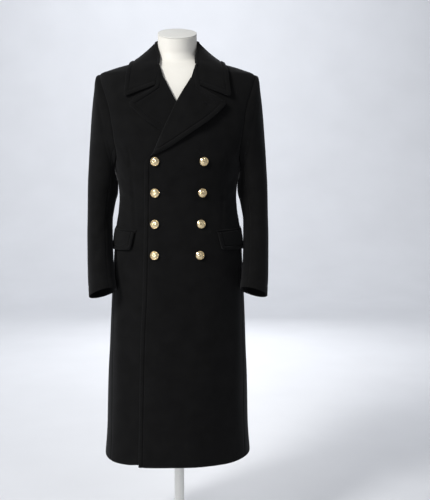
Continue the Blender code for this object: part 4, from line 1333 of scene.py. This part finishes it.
def rimmed_cylinder(vertices, radius, depth, location, slant, rim, segments):
    """A cylinder with rounded rims, tilted about X."""
    fresh_selection()
    bpy.ops.mesh.primitive_cylinder_add(vertices=vertices, radius=radius, depth=depth,
                                        location=location, rotation=(slant, 0, 0))
    item = bpy.context.object
    bevel = item.modifiers.new("Rim", "BEVEL")
    bevel.width = rim
    bevel.segments = segments
    bpy.ops.object.modifier_apply(modifier="Rim")
    bpy.ops.object.shade_smooth_by_angle(angle=radians(40))
    return item


class COAT_OT_buttons(bpy.types.Operator):
    """Make the eight domed buttons, each with a corded rim and a rosette."""

    bl_idname = "coat.buttons"
    bl_label = "Buttons"

    def execute(self, context):
        pattern = self.button()
        for column in BUTTON_COLUMNS:
            for index, height in enumerate(BUTTON_HEIGHTS):
                turn = turn_at(button_x(column, height), height)
                place = front_points(1, turn, np.array(height), np.array(sizes().seam_gap))
                out = Vector(body_normals(turn, np.array(height)))
                spin = Matrix.Rotation(radians(17 * index + (40 if column == "left" else 0)), 4,
                                       "Z")
                copy = pattern.copy()
                copy.data = pattern.data.copy()
                context.scene.collection.objects.link(copy)
                copy.matrix_world = (Matrix.Translation(Vector(place))
                                     @ out.to_track_quat("Z", "Y").to_matrix().to_4x4() @ spin)
                node = f"button_{column}_{index + 1}"
                settle(copy, f"{node}_metal", "brass")
                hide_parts(node)
        bpy.data.objects.remove(pattern, do_unlink=True)
        return {"FINISHED"}

    def button(self):
        """One button at the origin, facing +Z: back, rim and dome from one circle."""
        radius = sizes().button_radius
        steps = ((0.0028, 0.0), (0.0028, 0.0024), (0.78 * radius, 0.0026), (0.95 * radius, 0.0032),
                 (radius, 0.0042), (0.985 * radius, 0.0052), (0.93 * radius, 0.0057),
                 (0.885 * radius, 0.0054), (0.86 * radius, 0.0056), (0.74 * radius, 0.0072),
                 (0.58 * radius, 0.0084), (0.38 * radius, 0.0092), (0.18 * radius, 0.0096))
        item = drawn_up(steps, 48, 50)
        parts = [item, self.cord(radius), self.rosette(radius)]
        fresh_selection()
        for part in parts:
            part.select_set(True)
        bpy.context.view_layer.objects.active = item
        bpy.ops.object.join()
        return item

    def cord(self, radius):
        """The twisted cord round the rim: one bead, turned round."""
        fresh_selection()
        bpy.ops.mesh.primitive_uv_sphere_add(segments=8, ring_count=5, radius=0.00075,
                                             location=(0.945 * radius, 0, 0.0055))
        bead = bpy.context.object
        edit_all()
        bpy.ops.transform.resize(value=(0.9, 1.35, 0.8))
        bpy.ops.mesh.spin(steps=44, dupli=True, angle=2 * pi * 43 / 44, center=(0, 0, 0),
                          axis=(0, 0, 1))
        bpy.ops.object.mode_set(mode="OBJECT")
        apply_place()
        bpy.ops.object.shade_smooth()
        return bead

    def rosette(self, radius):
        """Plain petals round a boss, raised on the dome."""
        petals = sizes().petals
        fresh_selection()
        bpy.ops.mesh.primitive_uv_sphere_add(segments=12, ring_count=8, radius=0.0021,
                                             location=(0.36 * radius, 0, 0.0090))
        petal = bpy.context.object
        edit_all()
        bpy.ops.transform.resize(value=(1.25, 0.72, 0.42))
        bpy.ops.mesh.spin(steps=petals, dupli=True, angle=2 * pi * (petals - 1) / petals,
                          center=(0, 0, 0), axis=(0, 0, 1))
        bpy.ops.mesh.primitive_uv_sphere_add(segments=20, ring_count=10, radius=0.0019,
                                             location=(-0.36 * radius, 0, 0.0004))
        bpy.ops.object.mode_set(mode="OBJECT")
        apply_place()
        bpy.ops.object.shade_smooth()
        return petal


class COAT_OT_dress_form(bpy.types.Operator):
    """Make the smooth dress form, its neck cap, the pole and the base."""

    bl_idname = "coat.dress_form"
    bl_label = "Dress form and stand"

    def execute(self, context):
        self.body()
        self.cap()
        self.pole()
        self.base()
        return {"FINISHED"}

    def body(self):
        """A circle, drawn up through the form's rings and shaped at each height."""
        heights = np.concatenate((FORM_ROWS[0][0] + np.array((0, 0.0015, 0.004)),
                                  np.linspace(FORM_ROWS[0][0] + 0.01, 1.425, 60),
                                  np.linspace(1.428, FORM_ROWS[-1][0] - 0.001, 50),
                                  FORM_ROWS[-1][:1]))
        fresh_selection()
        bpy.ops.mesh.primitive_circle_add(vertices=96, radius=FORM_ROWS[0][1], fill_type="NGON",
                                          location=(0, 0, heights[0]))
        item = bpy.context.object
        apply_place()
        edit_all()
        for low, high in zip(heights, heights[1:]):
            bpy.ops.mesh.extrude_region_move(
                TRANSFORM_OT_translate={"value": (0, 0, high - low)})
        leave_closed_form()
        for vert in item.data.vertices:
            row = FORM.at(vert.co.z)
            turn = np.arctan2(vert.co.x, -vert.co.y)
            foot = vert.co.z - FORM_ROWS[0][0]
            inset = 1 - 0.012 * (1 - min(foot / 0.004, 1)) ** 2
            depth = row.front_depth if cos(turn) > 0 else row.back_depth
            vert.co.x = row.half_width * sin(turn) * inset
            vert.co.y = -depth * cos(turn) * inset
            vert.co.z += row.tilt * vert.co.y
            vert.co.y += row.middle_y
        bpy.ops.object.shade_smooth_by_angle(angle=radians(40))
        settle(item, "form_body_cover", "form_cloth")
        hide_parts("form_body")

    def cap(self):
        """A thin disc with a rounded rim on the slanted neck."""
        low, high = (Vector(corner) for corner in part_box("form_neck_cap"))
        centre = (low + high) / 2
        radius = (high.x - low.x) / 2
        slant = atan(FORM_ROWS[-1][-1])
        item = rimmed_cylinder(96, radius, CAP_THICKNESS, centre, slant, 0.0011, 3)
        # The cap's darker lacquer is painted shade on its lit top
        settle(item, "form_neck_cap_disc", "cap_lacquer")
        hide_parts("form_neck_cap")

    def pole(self):
        """A straight tube from the base up into the form."""
        low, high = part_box("form_pole")
        middle = (0, 0, (high[2] + low[2]) / 2)
        item = rimmed_cylinder(64, sizes().pole_radius, high[2] - low[2], middle, 0, 0.0006, 2)
        settle(item, "form_pole_tube", "lacquer")
        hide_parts("form_pole")

    def base(self):
        """A round foot plate that swells into the pole's boss."""
        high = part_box("form_base")[1]
        radius = high[0]
        boss = sizes().pole_radius + 0.008
        steps = ((radius - 0.0015, 0.0), (radius, 0.0012), (radius, 0.0040),
                 (radius - 0.003, 0.0068), (radius - 0.008, 0.0080),
                 (boss + 0.020, 0.0095), (boss + 0.010, 0.0105),
                 (boss + 0.004, 0.0130), (boss + 0.001, 0.0180), (boss, 0.0325),
                 (boss - 0.001, 0.0350), (boss - 0.003, high[2]))
        item = drawn_up(steps, 128, 30)
        settle(item, "form_base_plate", "lacquer")
        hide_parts("form_base")


def shader_node(nodes, kind, **inputs):
    """A shader node with values on its inputs. An underscore in a name stands for a space."""
    node = nodes.new(f"ShaderNode{kind}")
    for name, value in inputs.items():
        node.inputs[name.replace("_", " ")].default_value = value
    return node


def nap_group():
    """Shader group of felted cloth: mottling of the colour, and the height of its nap."""
    group = bpy.data.node_groups.new("Felted nap", "ShaderNodeTree")
    for name, kind in (("Colour", "NodeSocketColor"), ("Fibre size", "NodeSocketFloat"),
                       ("Mottle", "NodeSocketFloat")):
        group.interface.new_socket(name=name, in_out="INPUT", socket_type=kind)
    for name, kind in (("Colour", "NodeSocketColor"), ("Roughness", "NodeSocketFloat"),
                       ("Height", "NodeSocketFloat")):
        group.interface.new_socket(name=name, in_out="OUTPUT", socket_type=kind)
    nodes, links = group.nodes, group.links
    entry = nodes.new("NodeGroupInput")
    leave = nodes.new("NodeGroupOutput")
    place = shader_node(nodes, "TexCoord")
    stretch = shader_node(nodes, "Mapping", Scale=(1.0, 1.0, 0.55))
    links.new(place.outputs["Object"], stretch.inputs["Vector"])
    fibre = shader_node(nodes, "TexNoise", Detail=4.0, Roughness=0.65)
    links.new(stretch.outputs["Vector"], fibre.inputs["Vector"])
    links.new(entry.outputs["Fibre size"], fibre.inputs["Scale"])
    cloud = shader_node(nodes, "TexNoise", Scale=26.0, Detail=3.0)
    links.new(place.outputs["Object"], cloud.inputs["Vector"])
    both = shader_node(nodes, "Math")
    both.operation = "ADD"
    links.new(fibre.outputs["Fac"], both.inputs[0])
    links.new(cloud.outputs["Fac"], both.inputs[1])
    spread = shader_node(nodes, "MapRange", From_Min=0.7, From_Max=1.3, To_Min=1.0)
    links.new(both.outputs[0], spread.inputs["Value"])
    links.new(entry.outputs["Mottle"], spread.inputs["To Max"])
    tint = shader_node(nodes, "VectorMath")
    tint.operation = "SCALE"
    links.new(entry.outputs["Colour"], tint.inputs[0])
    links.new(spread.outputs["Result"], tint.inputs["Scale"])
    links.new(tint.outputs["Vector"], leave.inputs["Colour"])
    rough = shader_node(nodes, "MapRange", To_Min=0.86, To_Max=0.98)
    links.new(fibre.outputs["Fac"], rough.inputs["Value"])
    links.new(rough.outputs["Result"], leave.inputs["Roughness"])
    links.new(both.outputs[0], leave.inputs["Height"])
    return group


def new_material(name):
    """The nodes and the links of a new material."""
    material = bpy.data.materials.new(name)
    material.use_nodes = True
    return material.node_tree.nodes, material.node_tree.links


def felted(name, colour, fibre_size, mottle, bump, sheen):
    """Cloth with a short nap."""
    nodes, links = new_material(name)
    shader = nodes["Principled BSDF"]
    nap = shader_node(nodes, "Group")
    nap.node_tree = bpy.data.node_groups["Felted nap"]
    nap.inputs["Colour"].default_value = (*colour, 1)
    nap.inputs["Fibre size"].default_value = fibre_size
    nap.inputs["Mottle"].default_value = mottle
    raised = shader_node(nodes, "Bump", Strength=bump, Distance=0.0006)
    links.new(nap.outputs["Height"], raised.inputs["Height"])
    links.new(raised.outputs["Normal"], shader.inputs["Normal"])
    links.new(nap.outputs["Colour"], shader.inputs["Base Color"])
    links.new(nap.outputs["Roughness"], shader.inputs["Roughness"])
    shader.inputs["Specular IOR Level"].default_value = 0.07
    shader.inputs["Sheen Weight"].default_value = sheen
    shader.inputs["Sheen Roughness"].default_value = 0.45
    shader.inputs["Sheen Tint"].default_value = (0.88, 0.89, 0.93, 1)


def brass_material(colour, tarnish):
    """Gilt brass, darker and duller in patches."""
    nodes, links = new_material("brass")
    shader = nodes["Principled BSDF"]
    place = shader_node(nodes, "TexCoord")
    wear = shader_node(nodes, "TexNoise", Scale=420.0, Detail=5.0)
    links.new(place.outputs["Object"], wear.inputs["Vector"])
    mask = shader_node(nodes, "MapRange", From_Min=0.52, From_Max=0.72)
    links.new(wear.outputs["Fac"], mask.inputs["Value"])
    paint = shader_node(nodes, "Mix")
    paint.data_type = "RGBA"
    paint.inputs["A"].default_value = (*colour, 1)
    paint.inputs["B"].default_value = (*tarnish, 1)
    links.new(mask.outputs["Result"], paint.inputs["Factor"])
    links.new(paint.outputs["Result"], shader.inputs["Base Color"])
    dull = shader_node(nodes, "MapRange", To_Min=0.20, To_Max=0.42)
    links.new(mask.outputs["Result"], dull.inputs["Value"])
    links.new(dull.outputs["Result"], shader.inputs["Roughness"])
    shader.inputs["Metallic"].default_value = 1.0


def smooth_material(name, colour, roughness, grain, depth):
    """An even cover or lacquer with a faint grain."""
    nodes, links = new_material(name)
    shader = nodes["Principled BSDF"]
    place = shader_node(nodes, "TexCoord")
    noise = shader_node(nodes, "TexNoise", Scale=grain, Detail=3.0)
    links.new(place.outputs["Object"], noise.inputs["Vector"])
    shade = shader_node(nodes, "MapRange", To_Min=0.95, To_Max=1.05)
    links.new(noise.outputs["Fac"], shade.inputs["Value"])
    tint = shader_node(nodes, "VectorMath")
    tint.operation = "SCALE"
    tint.inputs[0].default_value = colour
    links.new(shade.outputs["Result"], tint.inputs["Scale"])
    links.new(tint.outputs["Vector"], shader.inputs["Base Color"])
    raised = shader_node(nodes, "Bump", Strength=0.4, Distance=depth)
    links.new(noise.outputs["Fac"], raised.inputs["Height"])
    links.new(raised.outputs["Normal"], shader.inputs["Normal"])
    shader.inputs["Roughness"].default_value = roughness


class COAT_OT_finishes(bpy.types.Operator):
    """Make the materials that the pieces use."""

    bl_idname = "coat.finishes"
    bl_label = "Finishes"

    def execute(self, context):
        c = colours()
        nap_group()
        felted("melton", c.wool, 900.0, 1.9, 0.55, 0.055)
        felted("thread", c.thread, 1600.0, 1.4, 0.3, 0.03)
        brass_material(c.brass, c.tarnish)
        smooth_material("form_cloth", c.form, 0.75, 1400.0, 0.0002)
        smooth_material("lacquer", c.lacquer, 0.38, 700.0, 0.00005)
        # The cap's lacquer is a darker copy of the pole's: painted shade on the cap's lit top
        smooth_material("cap_lacquer", c.cap, 0.5, 700.0, 0.00005)
        return {"FINISHED"}


class COAT_OT_stage(bpy.types.Operator):
    """Make the pale floor, the soft lights and the camera."""

    bl_idname = "coat.stage"
    bl_label = "Stage"

    def execute(self, context):
        self.floor()
        for lamp in LAMPS:
            self.light(*lamp)
        context.scene.view_settings.view_transform = "Standard"
        self.world(context)
        self.camera(context)
        return {"FINISHED"}

    def floor(self):
        """A floor that curves up into a backdrop."""
        fresh_selection()
        bpy.ops.mesh.primitive_plane_add(size=1)
        item = bpy.context.object
        item.name = "floor"
        item.scale = (*FLOOR_SIZE, 1)
        item.location = (0, FLOOR_MIDDLE_Y, 0)
        apply_place()
        bpy.ops.object.mode_set(mode="EDIT")
        bpy.ops.mesh.select_mode(type="EDGE")
        bpy.ops.mesh.select_all(action="DESELECT")
        bpy.ops.object.mode_set(mode="OBJECT")
        for edge in item.data.edges:
            edge.select = all(item.data.vertices[i].co.y > FLOOR_REAR_Y for i in edge.vertices)
        bpy.ops.object.mode_set(mode="EDIT")
        bpy.ops.mesh.extrude_region_move(TRANSFORM_OT_translate={"value": (0, 0, BACKDROP_HEIGHT)})
        bpy.ops.object.mode_set(mode="OBJECT")
        bevel = item.modifiers.new("Sweep", "BEVEL")
        bevel.width = BACKDROP_SWEEP
        bevel.segments = 24
        bevel.limit_method = "ANGLE"
        bpy.ops.object.modifier_apply(modifier="Sweep")
        bpy.ops.object.shade_smooth()
        smooth_material("floor", colours().floor, 0.6, 3.0, 0.0001)
        item.data.materials.append(bpy.data.materials["floor"])

    def light(self, name, place, target, size, power, colour):
        lamp = bpy.data.lights.new(name, "AREA")
        lamp.shape = "DISK"
        lamp.size = size
        lamp.energy = power
        lamp.color = colour
        item = bpy.data.objects.new(name, lamp)
        item.location = place
        way = Vector(target) - Vector(place)
        item.rotation_euler = way.to_track_quat("-Z", "Y").to_euler()
        item.visible_camera = False
        bpy.context.scene.collection.objects.link(item)

    def world(self, context):
        world = bpy.data.worlds.new("studio")
        world.use_nodes = True
        world.node_tree.nodes["Background"].inputs["Color"].default_value = (0.94, 0.96, 1.0, 1)
        world.node_tree.nodes["Background"].inputs["Strength"].default_value = 0.40
        context.scene.world = world

    def camera(self, context):
        """A long lens 2.8 m away, a little above the middle and turned to the coat's right."""
        data = bpy.data.cameras.new("camera")
        data.sensor_width = SENSOR
        data.lens = LENS
        item = bpy.data.objects.new("camera", data)
        item.location = CAMERA_PLACE
        item.rotation_euler = (radians(90 - CAMERA_DIP), 0, radians(CAMERA_TURN))
        context.scene.collection.objects.link(item)
        context.scene.camera = item


OPERATORS = (COAT_OT_finishes, COAT_OT_fronts, COAT_OT_backs, COAT_OT_sleeves, COAT_OT_collar,
             COAT_OT_lapels, COAT_OT_pockets, COAT_OT_sewing, COAT_OT_buttons,
             COAT_OT_dress_form, COAT_OT_stage)


class COAT_PT_panel(bpy.types.Panel):
    """Sizes, colours and one button for each group of pieces."""

    bl_label = "Military coat"
    bl_idname = "COAT_PT_panel"
    bl_space_type = "VIEW_3D"
    bl_region_type = "UI"
    bl_category = "Coat"

    def draw(self, context):
        for group in (context.scene.coat_sizes, context.scene.coat_colours):
            box = self.layout.box()
            for name in group.__annotations__:
                box.prop(group, name)
        for operator in OPERATORS:
            self.layout.operator(operator.bl_idname)


CLASSES = (CoatSizes, CoatColours, *OPERATORS, COAT_PT_panel)


def register():
    for item in CLASSES:
        bpy.utils.register_class(item)
    bpy.types.Scene.coat_sizes = PointerProperty(type=CoatSizes)
    bpy.types.Scene.coat_colours = PointerProperty(type=CoatColours)


def unregister():
    del bpy.types.Scene.coat_colours
    del bpy.types.Scene.coat_sizes
    for item in reversed(CLASSES):
        bpy.utils.unregister_class(item)


def main():
    register()
    for operator in OPERATORS:
        group, name = operator.bl_idname.split(".")
        getattr(getattr(bpy.ops, group), name)()


if __name__ == "__main__":
    main()
